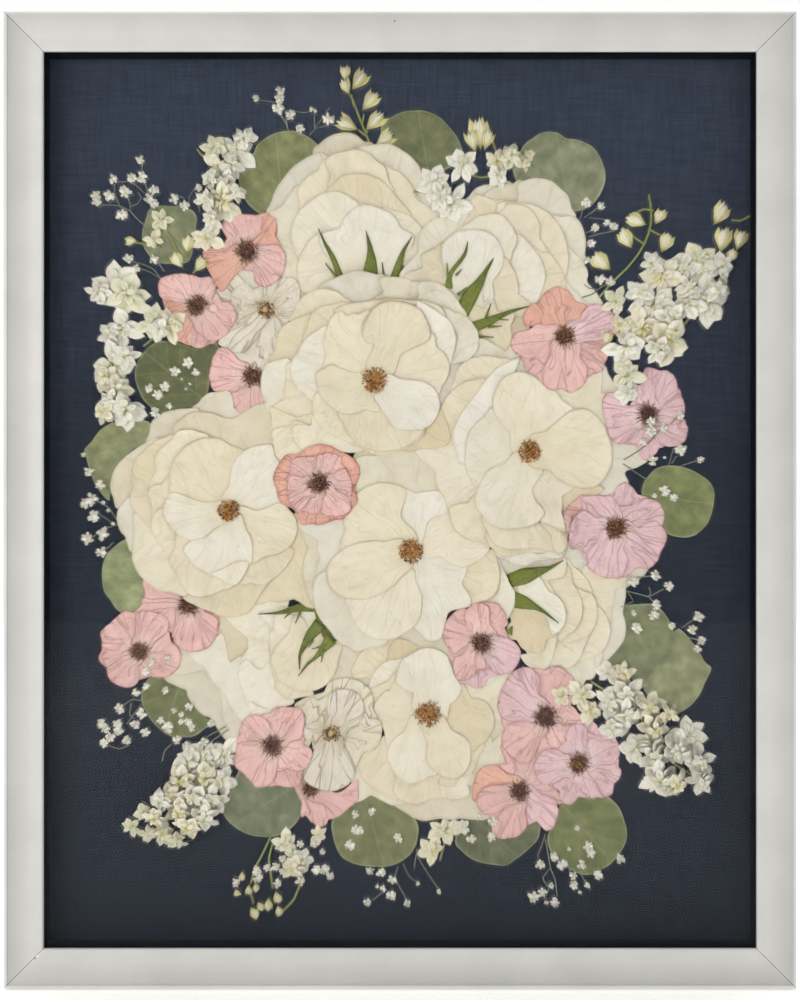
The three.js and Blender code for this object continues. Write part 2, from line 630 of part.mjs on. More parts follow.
const LEAVES = {
  eucalyptus_leaf_01: '240,155 252,152 256,143 263,137 281,129 292,128 302,131 317,142 320,150 '
    + '322,165 300,200 285,215 270,217 258,211 248,203 241,192 237,168',
  eucalyptus_leaf_02: '380,128 386,119 404,109 428,109 440,115 457,134 463,150 '
    + '458,158 450,165 440,170 428,172 415,165 400,150 388,140',
  eucalyptus_leaf_03: '525,142 541,131 550,129 560,131 567,136 578,137 596,147 606,168 606,180 '
    + '602,191 596,200 588,206 570,209 565,195 545,182 530,180 518,181 513,165',
  eucalyptus_leaf_04: '148,207 157,204 182,205 192,209 196,216 190,255 '
    + '185,261 158,261 150,256 141,240 141,230',
  eucalyptus_leaf_05: '148,345 158,340 170,340 198,348 215,340 219,344 210,368 205,398 '
    + '196,410 180,412 160,412 148,405 140,395 134,380 134,368 138,357',
  eucalyptus_leaf_06: '83,449 98,430 108,423 130,417 142,419 150,423 147,442 135,446 '
    + '122,458 112,470 110,485 111,498 107,501 93,482 88,470',
  eucalyptus_leaf_07: '131,538 122,540 112,547 104,556 101,567 101,582 103,592 '
    + '114,608 122,614 132,616 140,608 146,585 140,570 132,558',
  eucalyptus_leaf_08: '191,652 181,651 178,662 170,675 160,678 148,678 141,690 140,700 '
    + '144,712 160,731 170,737 193,737 213,722 200,715 190,700 186,690',
  eucalyptus_leaf_09: '240,770 232,785 222,808 223,816 229,824 238,831 249,836 272,838 '
    + '283,834 293,827 300,817 302,805 300,790 290,785 270,783 250,778',
  eucalyptus_leaf_10: '360,788 352,802 343,812 333,818 331,828 334,842 339,855 347,862 370,868 '
    + '385,868 397,865 408,858 415,849 418,838 418,825 410,815 385,800',
  eucalyptus_leaf_11: '455,843 470,859 482,864 506,867 516,861 537,843 541,832 '
    + '540,822 525,815 500,820 480,815 468,815 460,825',
  eucalyptus_leaf_12: '548,840 560,808 580,797 593,799 604,795 620,808 625,820 '
    + '628,833 626,846 612,865 593,876 580,875 558,862 551,852',
  eucalyptus_leaf_13: '645,482 657,468 667,465 678,465 690,468 710,480 715,488 716,498 710,521 '
    + '703,530 694,536 682,537 672,535 667,531 660,515 650,500 644,497',
  eucalyptus_leaf_14: '621,609 630,605 653,604 662,609 674,628 676,640 674,652 668,662 652,675 '
    + '645,688 630,677 608,668 603,664 612,655 622,640 627,628 625,615',
  eucalyptus_leaf_15: '676,627 686,633 701,652 706,662 713,668 701,695 693,705 683,712 '
    + '672,716 652,698 645,690 650,678 660,668 670,655 676,642',
};

// ---------------------------------------------------------------- the larkspur

const SPRIGS = {
  larkspur_sprig_left: {
    stems: ['104,285 130,289 119,328 118,362 113,397', '119,328 158,323'],
    florets: [[104, 285, 21], [130, 289, 19], [119, 328, 19], [118, 362, 24], [113, 397, 22], [158, 323, 18]],
  },
  larkspur_buds_top: {
    stems: ['346,71 344,86 355,104 364,126 372,146', '355,104 359,78', '364,126 369,98',
      '368,132 376,117', '346,122 370,140', '372,146 382,137'],
    florets: [[346, 71, 7], [344, 86, 7], [359, 78, 8], [369, 98, 8], [376, 117, 9], [346, 122, 8],
      [382, 137, 8]],
  },
  larkspur_sprig_bottom_left: {
    stems: ['218,757 188,772 176,803 166,836 130,830', '218,757 216,790 200,820 176,803'],
    florets: [[218, 757, 20], [188, 772, 21], [216, 790, 22], [176, 803, 21], [200, 820, 20], [166, 836, 15],
      [130, 830, 9]],
  },
  larkspur_sprig_top_right: {
    stems: ['479,132 497,150 505,156 498,176 480,176 461,164 436,180 455,200'],
    florets: [[479, 132, 14], [505, 156, 16], [461, 164, 16], [436, 180, 19], [455, 200, 17]],
  },
  larkspur_sprig_top_left: {
    stems: ['214,146 237,145 222,168 222,198 204,234'],
    florets: [[214, 146, 14], [237, 145, 17], [222, 168, 16], [222, 198, 24], [204, 234, 15]],
  },
  larkspur_sprig_bottom_right: {
    stems: ['606,684 628,690 652,716 690,748 702,782', '652,716 628,735 668,778'],
    florets: [[628, 690, 20], [652, 716, 20], [628, 735, 22], [690, 748, 26], [668, 778, 22], [702, 782, 15]],
  },
  larkspur_sprig_right: {
    stems: ['651,214 645,245 665,288 645,322 630,374', '602,260 645,245', '660,216 651,214',
      '728,240 701,266 703,305 672,342 645,322'],
    florets: [[701, 266, 25], [703, 305, 24], [665, 288, 24], [645, 322, 26], [672, 342, 22], [630, 374, 24],
      [728, 240, 19], [602, 260, 12], [660, 216, 10]],
  },
};

// ---------------------------------------------------------------- laying the flowers

// Bottom to top, as they lie on the panel.
const LAYING_ORDER = [
  ...Object.keys(LEAVES).reverse(), 'larkspur_buds_top', 'rose_bottom', 'rose_upper_left',
  'rose_upper_right', 'larkspur_sprig_top_right', 'rose_lower_left', 'rose_lower_right',
  'white_flower_left', 'pink_flower_03', 'pink_flower_09', 'rose_left', 'rose_lower_middle',
  'rose_right', 'rose_middle', 'pink_flower_02', 'pink_flower_01', 'larkspur_sprig_top_left',
  'larkspur_sprig_left', 'pink_flower_10', 'pink_flower_04', 'pink_flower_05', 'pink_flower_06',
  'larkspur_sprig_right', 'pink_flower_07', 'pink_flower_08', 'pink_flower_12',
  'larkspur_sprig_bottom_left', 'white_flower_bottom', 'pink_flower_11', 'pink_flower_15',
  'pink_flower_13', 'pink_flower_14', 'larkspur_sprig_bottom_right',
];

function pressedPiece(name) {
  if (name in ROSES) return [roseSolid(ROSES[name]), CREAM_PETAL];
  if (name in WHITE_FLOWERS) {
    return [smallFlowerSolid(WHITE_FLOWERS[name], WHITE_FLOWER_THICKNESS), CREAM_PETAL];
  }
  if (name in PINK_FLOWERS) {
    return [smallFlowerSolid(PINK_FLOWERS[name], PINK_FLOWER_THICKNESS), PINK_PETAL];
  }
  if (name in LEAVES) return [column(placesOf(LEAVES[name]), LEAF_THICKNESS), GREEN_LEAF];
  return [sprigSolid(SPRIGS[name]), WHITE_FLORET];
}

// Raises a piece step by step until it clears everything that is already down.
function restingHeight(solid, laid) {
  let height = PANEL_FRONT + CLEARANCE;
  const touches = (other) => !solid.translate([0, 0, height - CLEARANCE]).intersect(other).isEmpty();
  while (laid.some(touches)) height += CLEARANCE;
  return height;
}

function pressedFlowers() {
  const group = new THREE.Group();
  const laid = [];
  for (const name of LAYING_ORDER) {
    const [solid, material] = pressedPiece(name);
    const height = restingHeight(solid, laid);
    laid.push(solid.translate([0, 0, height]));
    const mesh = new THREE.Mesh(geometryOf(solid), material);
    mesh.name = name;
    mesh.position.z = height;
    group.add(mesh);
  }
  return group;
}

// ---------------------------------------------------------------- the frame

// The moulding's section: x counts outwards from the sight edge, y forwards from the wall.
function mouldingSection() {
  const beadWidth = OUTER_BEAD.at(-1)[0];
  const scoopWidth = RAIL_WIDTH - beadWidth - FLAT_WIDTH;
  const flat = RAIL_DEPTH - SCOOP_DEPTH;
  const lipRadius = flat - LIP_FRONT;
  const section = new THREE.Shape();
  section.moveTo(RABBET_WIDTH, 0);
  section.lineTo(RAIL_WIDTH, 0);
  for (const [inwards, down] of OUTER_BEAD) {
    section.lineTo(RAIL_WIDTH - inwards, RAIL_DEPTH - down);
  }
  for (let step = SCOOP_STEPS; step >= 0; step -= 1) {
    const across = step / SCOOP_STEPS;
    const rise = (SCOOP_DEPTH - GROOVE_DEPTH) * across ** SCOOP_CURVE;
    section.lineTo(FLAT_WIDTH + scoopWidth * across, flat + rise);
  }
  for (let step = 0; step <= LIP_STEPS; step += 1) {
    const turn = (Math.PI / 2) * (1 + step / LIP_STEPS);
    section.lineTo(lipRadius * (1 + Math.cos(turn)), LIP_FRONT + lipRadius * Math.sin(turn));
  }
  section.lineTo(0, LIP_BACK);
  section.lineTo(RABBET_WIDTH, LIP_BACK);
  return section;
}

// A rail along x, on the far side of a sight edge at y, with both ends mitred.
function railGeometry(sightAlong, sightAcross) {
  const geometry = new THREE.ExtrudeGeometry(mouldingSection(), { depth: 1, bevelEnabled: false });
  const position = geometry.attributes.position;
  for (let index = 0; index < position.count; index += 1) {
    const outward = position.getX(index);
    const forward = position.getY(index);
    const end = position.getZ(index) === 0 ? -1 : 1;
    const along = end * (sightAlong / 2 + outward - CLEARANCE / 2);
    position.setXYZ(index, along, sightAcross / 2 + outward, forward);
  }
  geometry.computeVertexNormals();
  return geometry;
}

function rail(name, sightAlong, sightAcross, turn) {
  const mesh = new THREE.Mesh(railGeometry(sightAlong, sightAcross), PAINTED_WOOD);
  mesh.name = name;
  mesh.rotation.z = turn;
  return mesh;
}

function sheet(name, width, height, thickness, back, material) {
  const mesh = new THREE.Mesh(new THREE.BoxGeometry(width, height, thickness), material);
  mesh.name = name;
  mesh.position.z = back + thickness / 2;
  return mesh;
}

function spacer(name, length, awayX, awayY) {
  const upright = awayX !== 0;
  const width = upright ? SPACER_THICKNESS : length;
  const height = upright ? length : SPACER_THICKNESS;
  const mesh = sheet(name, width, height, SPACER_DEPTH, SPACER_BACK, NAVY_CARD);
  mesh.position.x = awayX;
  mesh.position.y = awayY;
  return mesh;
}

// A steel strip whose lower edge has teeth for the nail; the middle notch is on the frame's middle.
function sawtoothHanger() {
  const pitch = HANGER_LENGTH / TOOTH_COUNT;
  const shape = new THREE.Shape();
  shape.moveTo(-HANGER_LENGTH / 2, 0);
  shape.lineTo(-HANGER_LENGTH / 2, -HANGER_HEIGHT);
  for (let tooth = 0; tooth < TOOTH_COUNT; tooth += 1) {
    const left = -HANGER_LENGTH / 2 + tooth * pitch;
    shape.lineTo(left + pitch / 2, -HANGER_HEIGHT + TOOTH_DEPTH);
    shape.lineTo(left + pitch, -HANGER_HEIGHT);
  }
  shape.lineTo(HANGER_LENGTH / 2, 0);
  const strip = new THREE.ExtrudeGeometry(shape, { depth: HANGER_THICKNESS, bevelEnabled: false });
  const mesh = new THREE.Mesh(strip, ZINC_STEEL);
  mesh.name = 'sawtooth_hanger';
  mesh.position.set(0, FRAME_HEIGHT / 2 - HANGER_BELOW_TOP, -CLEARANCE - HANGER_THICKNESS);
  return mesh;
}

function shadowBox() {
  const group = new THREE.Group();
  const spacerAwayX = SIGHT_WIDTH / 2 + RABBET_WIDTH - CLEARANCE - SPACER_THICKNESS / 2;
  const spacerAwayY = SIGHT_HEIGHT / 2 + RABBET_WIDTH - CLEARANCE - SPACER_THICKNESS / 2;
  const uprightLength = GLASS_HEIGHT - 2 * (SPACER_THICKNESS + CLEARANCE);
  group.add(
    rail('rail_top', SIGHT_WIDTH, SIGHT_HEIGHT, 0),
    rail('rail_left', SIGHT_HEIGHT, SIGHT_WIDTH, Math.PI / 2),
    rail('rail_bottom', SIGHT_WIDTH, SIGHT_HEIGHT, Math.PI),
    rail('rail_right', SIGHT_HEIGHT, SIGHT_WIDTH, -Math.PI / 2),
    sheet('glass_pane', GLASS_WIDTH, GLASS_HEIGHT, GLASS_THICKNESS, GLASS_BACK, CLEAR_GLASS),
    sheet('linen_panel', GLASS_WIDTH, GLASS_HEIGHT, PANEL_THICKNESS, PANEL_BACK, NAVY_LINEN),
    sheet('back_board', GLASS_WIDTH, GLASS_HEIGHT, BOARD_THICKNESS, BOARD_BACK, HARDBOARD),
    spacer('spacer_top', GLASS_WIDTH, 0, spacerAwayY),
    spacer('spacer_bottom', GLASS_WIDTH, 0, -spacerAwayY),
    spacer('spacer_left', uprightLength, -spacerAwayX, 0),
    spacer('spacer_right', uprightLength, spacerAwayX, 0),
    sawtoothHanger(),
  );
  return group;
}

// ---------------------------------------------------------------- the finished part

const NOTCH_BELOW_TOP = HANGER_BELOW_TOP + HANGER_HEIGHT - TOOTH_DEPTH;

const pressedFlowerFrame = new THREE.Group();
pressedFlowerFrame.add(shadowBox(), pressedFlowers());
pressedFlowerFrame.rotation.x = Math.PI / 2;
pressedFlowerFrame.position.z = NOTCH_BELOW_TOP - FRAME_HEIGHT / 2;

export default pressedFlowerFrame;
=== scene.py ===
"""Pressed flower frame: the looks of a glazed shadow box with roses, pink flowers, leaves and sprigs.

Each pressed flower is built as thin petals that lie on one another. Two height maps do the laying:
one holds how high everything already laid reaches, and the other how low the next thing above hangs,
so that every petal rests on what is below it and curls up only where nothing holds it down.
"""

import math
from collections import namedtuple

import bpy
import numpy as np
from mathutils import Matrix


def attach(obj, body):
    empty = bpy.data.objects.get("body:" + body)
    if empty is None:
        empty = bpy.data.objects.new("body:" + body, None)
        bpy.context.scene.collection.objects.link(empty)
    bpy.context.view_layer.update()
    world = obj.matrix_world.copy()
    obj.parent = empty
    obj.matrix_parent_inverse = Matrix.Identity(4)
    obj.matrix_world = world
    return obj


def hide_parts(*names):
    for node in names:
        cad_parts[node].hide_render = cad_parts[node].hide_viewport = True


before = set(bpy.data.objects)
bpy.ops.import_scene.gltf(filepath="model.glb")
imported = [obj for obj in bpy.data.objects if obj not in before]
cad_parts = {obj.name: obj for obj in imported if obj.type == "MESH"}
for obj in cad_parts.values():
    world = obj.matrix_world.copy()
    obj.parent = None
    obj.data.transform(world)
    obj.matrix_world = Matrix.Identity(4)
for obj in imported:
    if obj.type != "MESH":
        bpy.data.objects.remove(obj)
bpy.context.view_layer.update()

# ---------------------------------------------------------------- measures, in millimetres

DRAWING_UNIT = 0.56  # the flowers are laid out on a drawing that counts right and down in this unit
DRAWING_CENTRE = (400, 499.5)
DRAWING_ROWS = 1000
DRAWING_COLUMNS = 800

LINEN_FRONT = 9.8  # from the wall
GLASS_BACK = 25.4
SIGHT_PLANE = 29.9
FRAME_MIDDLE = -257.8
FRAME_BOTTOM = -527.6

PETAL_THICKNESS = 0.24
PINK_PETAL_THICKNESS = 0.2
LEAF_THICKNESS = 0.45
SEPAL_THICKNESS = 0.5
FLORET_THICKNESS = 0.2
AIR_GAP = 0.06  # between two pressed things that lie on each other

TUCKED_UNDER = 4  # drawing units that a grown petal runs on under the one above it
STEM_WIDTH = 2.2  # in drawing units, like the next one
TWIG_WIDTH = 1.1
STEM_THICKNESS = 0.5
TWIG_THICKNESS = 0.35

CLEAR_OF_THE_GLASS = 1
HEADROOM = GLASS_BACK - LINEN_FRONT - CLEAR_OF_THE_GLASS
OPENING_HALF_WIDTH = 197
OPENING_HALF_HEIGHT = 247.8
RAIL_WIDTH = 22

CAMERA_DISTANCE = 1000
CAMERA_LENS = 65.2
FLOOR_SIZE = 6000
FLOOR_GAP = 0.5
FLOOR_GLOW = 0.3  # emission strength
LAMP_PLACE = (-950, -1700, 0)  # to the left, in front, and level with the top rail
LAMP_SIZE = 600
LAMP_POWER = 10.0  # in watts
SKY_IN_FRONT, SKY_BEHIND, SKY_OVERHEAD = 0.32, 1.0, 1.0  # the sky's strengths

METRES = 0.001  # to a millimetre
FIRST_SEED = 100  # each pressed piece draws its own random numbers, from this seed on


def linear(hex_colour):
    """An sRGB colour such as #E5DFC8 as linear red, green and blue."""
    channels = [int(hex_colour[i : i + 2], 16) / 255 for i in (1, 3, 5)]
    return np.array([c / 12.92 if c <= 0.04045 else ((c + 0.055) / 1.055) ** 2.4 for c in channels])


def points(text):
    """Points written as "x,y x,y", or with a size as "x,y,size x,y,size", in drawing units."""
    return np.array([[float(value) for value in pair.split(",")] for pair in text.split()])


def in_the_frame(x, y, height):
    """Drawing units and millimetres above the linen, as metres in the row's frame."""
    across = (x - DRAWING_CENTRE[0]) * DRAWING_UNIT
    up = (DRAWING_CENTRE[1] - y) * DRAWING_UNIT + FRAME_MIDDLE
    return np.stack([across, -(LINEN_FRONT + height), up], axis=-1) * METRES


# ---------------------------------------------------------------- the flowers, as they are laid out

# Cream roses: the heart, then the petals from bottom to top, each with how yellow it has dried.
ROSES = {
    "rose_bottom": ((428, 714), [
        (0.3, "416,630 436,624 454,630 464,650 452,674 424,666"),
        (0.3, "322,640 350,628 376,640 386,668 362,696 334,690"),
        (0.35, "474,706 494,704 508,718 510,744 494,760 476,742"),
        (0.35, "396,803 405,812 412,818 424,822 440,820 455,821 468,815 477,808 475,795 440,795 410,798"),
        (0.3, "475,752 487,750 496,755 503,762 507,769 503,773 490,772 478,775"),
        (0.35, "462,690 470,682 480,685 490,678 495,690 491,700 480,705 465,700"),
        (0.3, "357,760 355,770 358,785 364,792 373,797 385,803 395,806 405,795 385,770"),
        (0.45, "355,757 358,768 362,778 370,787 380,793 392,797 400,790 395,765 385,752 368,750"),
        (0.5, "351,672 355,662 360,654 370,645 382,640 395,640 400,650 395,665 380,672 365,678 355,679"),
        (0.7, "388,650 395,640 405,640 415,645 420,655 412,662 400,662 390,660"),
        (0.25, "370,688 371,678 376,670 384,663 394,660 400,668 398,680 385,688"),
        (0.4, "369,692 380,685 392,682 400,690 390,705 375,705"),
        (0.45, "393,790 396,797 403,802 413,805 424,803 433,799 440,794 443,785 430,775 400,780"),
        (0.35, "440,795 443,790 455,787 465,785 470,790 468,797 460,800 450,800"),
        (0.45, "452,780 470,775 478,760 478,750 470,745 460,760 450,770 440,785 455,787"),
        (0.35, "372,712 376,702 383,693 388,691 400,692 412,695 415,710 417,722 408,728 400,732 "
               "393,737 387,735 381,727 375,720"),
        (0.6, "443,706 455,702 467,700 478,699 487,703 493,711 495,722 492,733 486,742 477,747 "
              "470,742 458,735 447,727 441,717"),
        (0.15, "396,684 397,672 401,661 409,655 418,650 430,648 441,651 448,657 452,666 455,676 "
               "462,687 460,696 453,703 441,706 432,702 420,697 410,692"),
        (0.25, "413,727 405,731 398,736 391,743 387,752 388,762 393,772 400,780 409,785 418,782 "
               "428,779 430,765 427,750 428,735 420,728"),
        (0.35, "429,735 427,745 426,756 428,765 436,773 446,778 456,779 464,774 470,765 471,755 "
               "470,743 462,736 450,730 440,727 432,728"),
    ]),
    "rose_upper_left": ((360, 262), [
        (0.45, "316,150 320,141 329,134 341,131 354,133 364,140 371,150 372,190 330,190"),
        (0.25, "326,158 315,153 303,157 292,165 282,177 274,190 270,204 270,219 275,238 286,262 "
               "302,290 345,275 350,200"),
        (0.35, "360,152 369,145 381,142 394,144 407,151 417,161 424,174 426,190 418,206 380,215 355,190"),
        (0.2, "398,203 408,197 419,198 427,206 432,217 428,226 415,240 390,235"),
        (0.5, "384,172 395,168 404,174 412,184 416,195 409,210 390,218 375,200"),
        (0.4, "302,188 291,192 283,200 279,211 277,224 278,238 286,254 300,268 345,262 345,205"),
        (0.5, "297,192 300,182 308,174 318,169 330,168 341,172 352,184 350,220 310,215"),
        (0.5, "329,172 324,160 332,153 343,149 356,148 368,151 377,160 385,166 389,180 388,200 "
              "365,215 338,200"),
        (0.65, "330,200 333,184 340,176 352,172 366,173 380,178 392,189 403,203 406,218 380,232 345,222"),
        (0.6, "395,266 404,255 415,251 421,259 424,272 421,284 405,286 390,280"),
        (0.4, "380,215 394,209 406,212 416,219 424,230 421,247 411,262 394,272 372,262"),
        (0.3, "300,253 293,245 290,234 292,221 298,210 307,201 318,194 330,190 342,191 353,200 "
              "360,225 350,262 320,265"),
        (0.4, "315,236 305,244 299,255 296,267 298,280 304,292 335,292 352,272 345,245"),
        (0.1, "343,268 336,256 335,242 338,229 346,214 357,205 368,203 380,207 391,211 399,222 "
              "402,235 400,250 392,264 375,273 355,273"),
    ]),
    "rose_upper_right": ((470, 300), [
        (0.75, "507,313 519,300 537,300 530,310 525,320 520,335 512,345 505,330"),
        (0.3, "468,200 474,188 484,183 498,182 510,186 515,200 500,215 475,212"),
        (0.45, "492,190 500,183 514,182 524,184 534,192 545,203 540,225 500,215"),
        (0.3, "517,184 527,178 539,176 552,179 562,187 569,194 572,205 572,216 560,232 535,225 522,200"),
        (0.35, "555,218 563,215 573,214 580,219 585,229 587,241 585,255 578,262 560,262 550,235"),
        (0.3, "560,252 570,250 580,255 586,264 589,272 586,283 580,289 572,292 560,288 552,265"),
        (0.25, "565,288 575,289 581,294 584,303 583,315 570,325 550,320 552,295"),
        (0.3, "420,255 418,244 420,232 424,225 432,218 444,214 456,212 466,215 470,220 470,240 "
              "455,262 430,270"),
        (0.6, "421,256 427,251 436,247 446,246 455,255 455,285 445,295 432,285 425,272"),
        (0.55, "471,196 476,193 484,194 493,198 501,201 506,207 509,216 510,228 490,240 470,225 470,208"),
        (0.5, "500,203 510,200 522,201 536,204 546,209 554,216 560,224 566,236 569,250 568,262 "
              "562,272 545,262 520,240 505,222"),
        (0.45, "505,205 515,202 527,205 535,212 540,223 540,235 534,247 515,255 500,235"),
        (0.6, "532,248 540,251 548,251 554,256 560,264 565,274 567,285 560,300 545,300 535,280"),
        (0.2, "510,240 518,237 525,238 534,247 541,257 545,267 546,275 544,285 541,295 537,300 "
              "520,310 505,290 500,255"),
        (0.35, "466,228 470,221 476,216 484,213 494,212 503,214 509,220 514,228 517,235 516,245 "
               "500,262 480,250"),
        (0.55, "503,261 510,264 515,270 518,279 519,290 517,300 513,309 507,313 495,316 480,312 "
               "473,305 485,280"),
        (0.1, "441,247 446,239 452,233 461,229 472,228 485,230 495,235 501,244 504,254 504,262 "
              "497,275 485,290 470,300 455,290 446,270"),
        (0.1, "468,312 475,305 484,301 491,303 490,312 482,318 472,320"),
        (0.6, "475,322 490,315 505,318 512,330 512,345 500,352 480,350"),
    ]),
    "rose_lower_left": ((325, 630), [
        (0.3, "192,664 188,672 186,685 186,694 190,703 197,711 205,717 215,719 222,718 222,695 "
              "215,670 200,660"),
        (0.3, "222,692 221,705 222,717 226,727 231,732 236,732 241,727 245,720 250,715 248,702 235,697"),
        (0.3, "191,656 193,662 200,670 210,675 225,680 228,665 224,650 218,645 208,650 200,652"),
        (0.6, "219,617 232,618 245,615 240,630 228,645 220,645 217,632"),
        (0.55, "226,640 229,628 234,622 241,619 246,625 247,645 245,658 238,668 232,668 227,655"),
        (0.15, "206,660 212,650 222,647 228,660 234,672 238,690 247,702 235,701 225,695 217,688 208,675"),
        (0.25, "245,617 250,612 258,614 270,622 268,640 268,655 272,665 271,673 262,672 253,668 "
               "249,655 246,635"),
        (0.15, "247,658 253,667 262,671 275,680 290,700 283,708 270,711 262,709 250,703 243,695 "
               "239,683 237,672 241,663"),
        (0.3, "248,702 258,707 270,711 268,718 258,716 250,713"),
        (0.45, "276,675 274,687 278,693 288,700 300,698 310,695 300,685 285,678"),
        (0.2, "256,613 270,610 290,612 305,612 315,617 312,630 300,635 288,633 275,628 264,621"),
        (0.35, "270,632 280,628 290,632 292,645 278,665 273,668 269,655 268,642"),
        (0.45, "270,660 274,650 281,640 290,633 302,632 315,640 330,640 337,650 338,662 334,675 "
               "326,685 315,691 303,692 290,689 279,681 273,671"),
    ]),
    "rose_lower_right": ((515, 598), [
        (0.3, "498,556 520,550 548,554 558,578 525,592 500,584"),
        (0.2, "563,556 572,558 585,563 597,570 600,580 585,590 570,575"),
        (0.3, "597,575 608,578 618,577 626,579 627,588 623,598 618,606 605,610 595,595"),
        (0.25, "605,612 612,607 620,609 625,617 627,629 625,640 618,650 611,658 604,664 596,660 595,630"),
        (0.3, "572,668 580,662 592,657 603,655 601,665 597,674 592,680 580,679 573,674"),
        (0.5, "592,580 600,577 609,579 614,586 616,596 614,607 608,616 598,612 592,598"),
        (0.5, "597,612 604,612 609,621 611,630 609,642 604,650 598,656 588,658 580,655 590,630"),
        (0.45, "557,642 570,641 583,638 585,645 582,655 577,663 571,668 564,668 559,660 557,650"),
        (0.5, "563,560 570,563 579,570 587,578 591,586 590,593 580,595 565,585 555,570"),
        (0.55, "590,592 596,600 598,612 597,622 592,632 585,638 575,641 565,638 570,610 575,595"),
        (0.5, "550,578 562,578 573,583 580,594 583,605 582,618 577,628 570,634 560,632 550,600"),
        (0.4, "520,655 530,655 543,640 553,636 556,645 554,656 550,665 545,671 537,671 528,666"),
        (0.75, "512,612 525,611 540,612 547,620 547,635 545,648 540,653 528,652 520,645 514,630"),
        (0.45, "513,588 525,581 540,574 552,567 563,560 567,565 563,578 550,580 535,590 520,592"),
        (0.1, "522,600 531,594 541,590 551,592 560,598 565,607 566,618 563,628 556,634 551,634 "
              "548,620 535,608"),
    ]),
    "rose_left": ((228, 510), [
        (0.3, "196,412 198,402 206,393 218,391 230,392 232,415 215,420"),
        (0.3, "148,440 149,425 153,418 162,412 173,409 186,408 195,410 190,430 170,445 150,445"),
        (0.5, "174,428 180,418 189,412 200,411 213,413 224,417 235,417 246,418 255,424 263,433 "
              "268,441 270,445 255,455 238,456 210,445 185,440"),
        (0.35, "155,440 143,443 133,449 122,458 113,469 110,481 110,491 115,500 123,502 135,500 "
               "150,480 160,455"),
        (0.15, "128,500 119,506 116,514 117,524 121,533 128,538 135,538 140,520"),
        (0.55, "258,585 262,597 275,602 290,600 302,595 308,590 305,570 300,548 285,545 262,560"),
        (0.55, "186,596 195,605 210,612 225,617 240,616 251,609 258,598 261,587 262,575 240,560 200,575"),
        (0.35, "145,520 137,525 132,537 131,550 131,560 135,570 143,580 153,588 165,592 178,594 "
               "186,590 180,560 165,530"),
        (0.5, "243,580 250,583 262,585 272,579 281,572 288,563 293,552 280,550 255,550 240,565"),
        (0.5, "145,478 135,483 130,492 129,503 134,511 142,519 150,524 160,510 160,485"),
        (0.55, "131,470 134,460 140,453 150,444 160,438 172,438 180,445 175,470 155,485 140,482 133,476"),
        (0.4, "153,462 156,453 163,445 172,438 176,431 184,429 195,430 204,440 195,455 175,480 "
              "170,487 162,482 156,472"),
        (0.5, "150,500 147,495 150,487 157,484 168,485 172,492 165,505 163,518 155,516 151,507"),
        (0.4, "150,525 154,538 162,549 172,557 185,558 195,550 195,530 175,515 155,512"),
        (0.4, "168,556 170,566 176,574 181,585 188,594 197,597 210,595 220,591 228,585 225,570 "
              "200,550 180,545"),
        (0.5, "171,490 169,478 170,466 175,456 182,448 190,442 199,438 209,437 220,438 229,444 "
              "236,453 233,470 229,485 232,498 222,505 205,505 190,500 178,495"),
        (0.1, "230,490 229,478 231,466 236,457 243,450 252,446 262,444 272,444 274,455 279,462 "
              "280,480 280,500 270,507 252,511 240,505"),
        (0.4, "240,515 252,512 268,506 280,502 290,510 296,520 297,533 292,543 284,551 272,555 "
              "258,557 253,556 250,540 243,525"),
        (0.1, "182,548 186,557 193,566 201,571 210,570 222,567 228,562 237,563 247,561 252,555 "
              "252,545 249,535 245,527 240,518 228,516 215,528 200,540"),
        (0.25, "170,492 165,500 162,508 163,517 168,525 175,533 183,538 193,540 203,537 212,530 "
               "220,523 226,515 222,503 205,502 190,498 178,493"),
        (0.3, "210,573 222,569 235,562 248,562 245,572 240,580 234,585 225,582 215,577"),
    ]),
    "rose_lower_middle": ((411, 551), [
        (0.55, "380,468 384,457 394,452 408,450 422,451 432,456 438,465 430,480 400,485 383,478"),
        (0.45, "376,475 382,465 396,470 410,466 425,464 436,468 440,480 446,492 430,498 400,495 378,488"),
        (0.45, "340,518 330,522 322,530 315,541 307,550 303,560 302,572 304,584 308,594 315,602 "
               "330,590 345,560"),
        (0.15, "345,520 333,522 323,528 319,537 317,547 320,558 325,566 340,560 355,540"),
        (0.3, "318,577 313,586 312,597 315,609 320,619 328,629 337,640 347,648 357,652 370,648 "
              "385,640 380,600 345,575"),
        (0.35, "497,560 505,572 510,583 515,592 515,604 511,613 507,620 490,618 480,590 485,565"),
        (0.55, "455,560 470,562 483,558 493,552 498,560 500,575 497,590 487,600 475,600 462,585"),
        (0.15, "428,560 440,562 452,572 463,585 471,597 470,607 450,612 445,628 440,640 425,640 "
               "415,620 415,590"),
        (0.4, "423,530 430,522 440,516 452,513 462,520 475,530 488,543 490,550 483,558 470,565 "
              "460,567 445,560 432,551 425,543"),
        (0.1, "404,536 404,525 401,515 403,505 408,497 416,493 427,491 437,490 447,495 452,505 "
              "445,513 432,518 423,528 420,538"),
        (0.5, "352,540 346,531 343,521 346,510 353,502 357,493 365,487 376,483 388,482 399,485 "
              "407,491 405,500 401,512 403,525 404,538 385,542 365,543"),
        (0.4, "405,572 412,575 417,583 421,593 422,606 420,617 414,627 404,634 393,639 381,640 "
              "368,637 358,629 351,618 349,606 352,595 375,590 395,580"),
        (0.45, "402,545 385,541 367,541 350,545 337,553 328,564 326,576 331,589 343,597 358,600 "
               "374,597 388,590 399,580 408,567"),
    ]),
    "rose_right": ((530, 451), [
        (0.4, "436,368 448,360 464,360 478,380 472,418 455,436 441,420 435,395"),
        (0.35, "506,352 530,354 538,378 518,390 503,374"),
        (0.3, "575,372 590,368 602,368 610,374 615,384 614,400 600,415 575,400"),
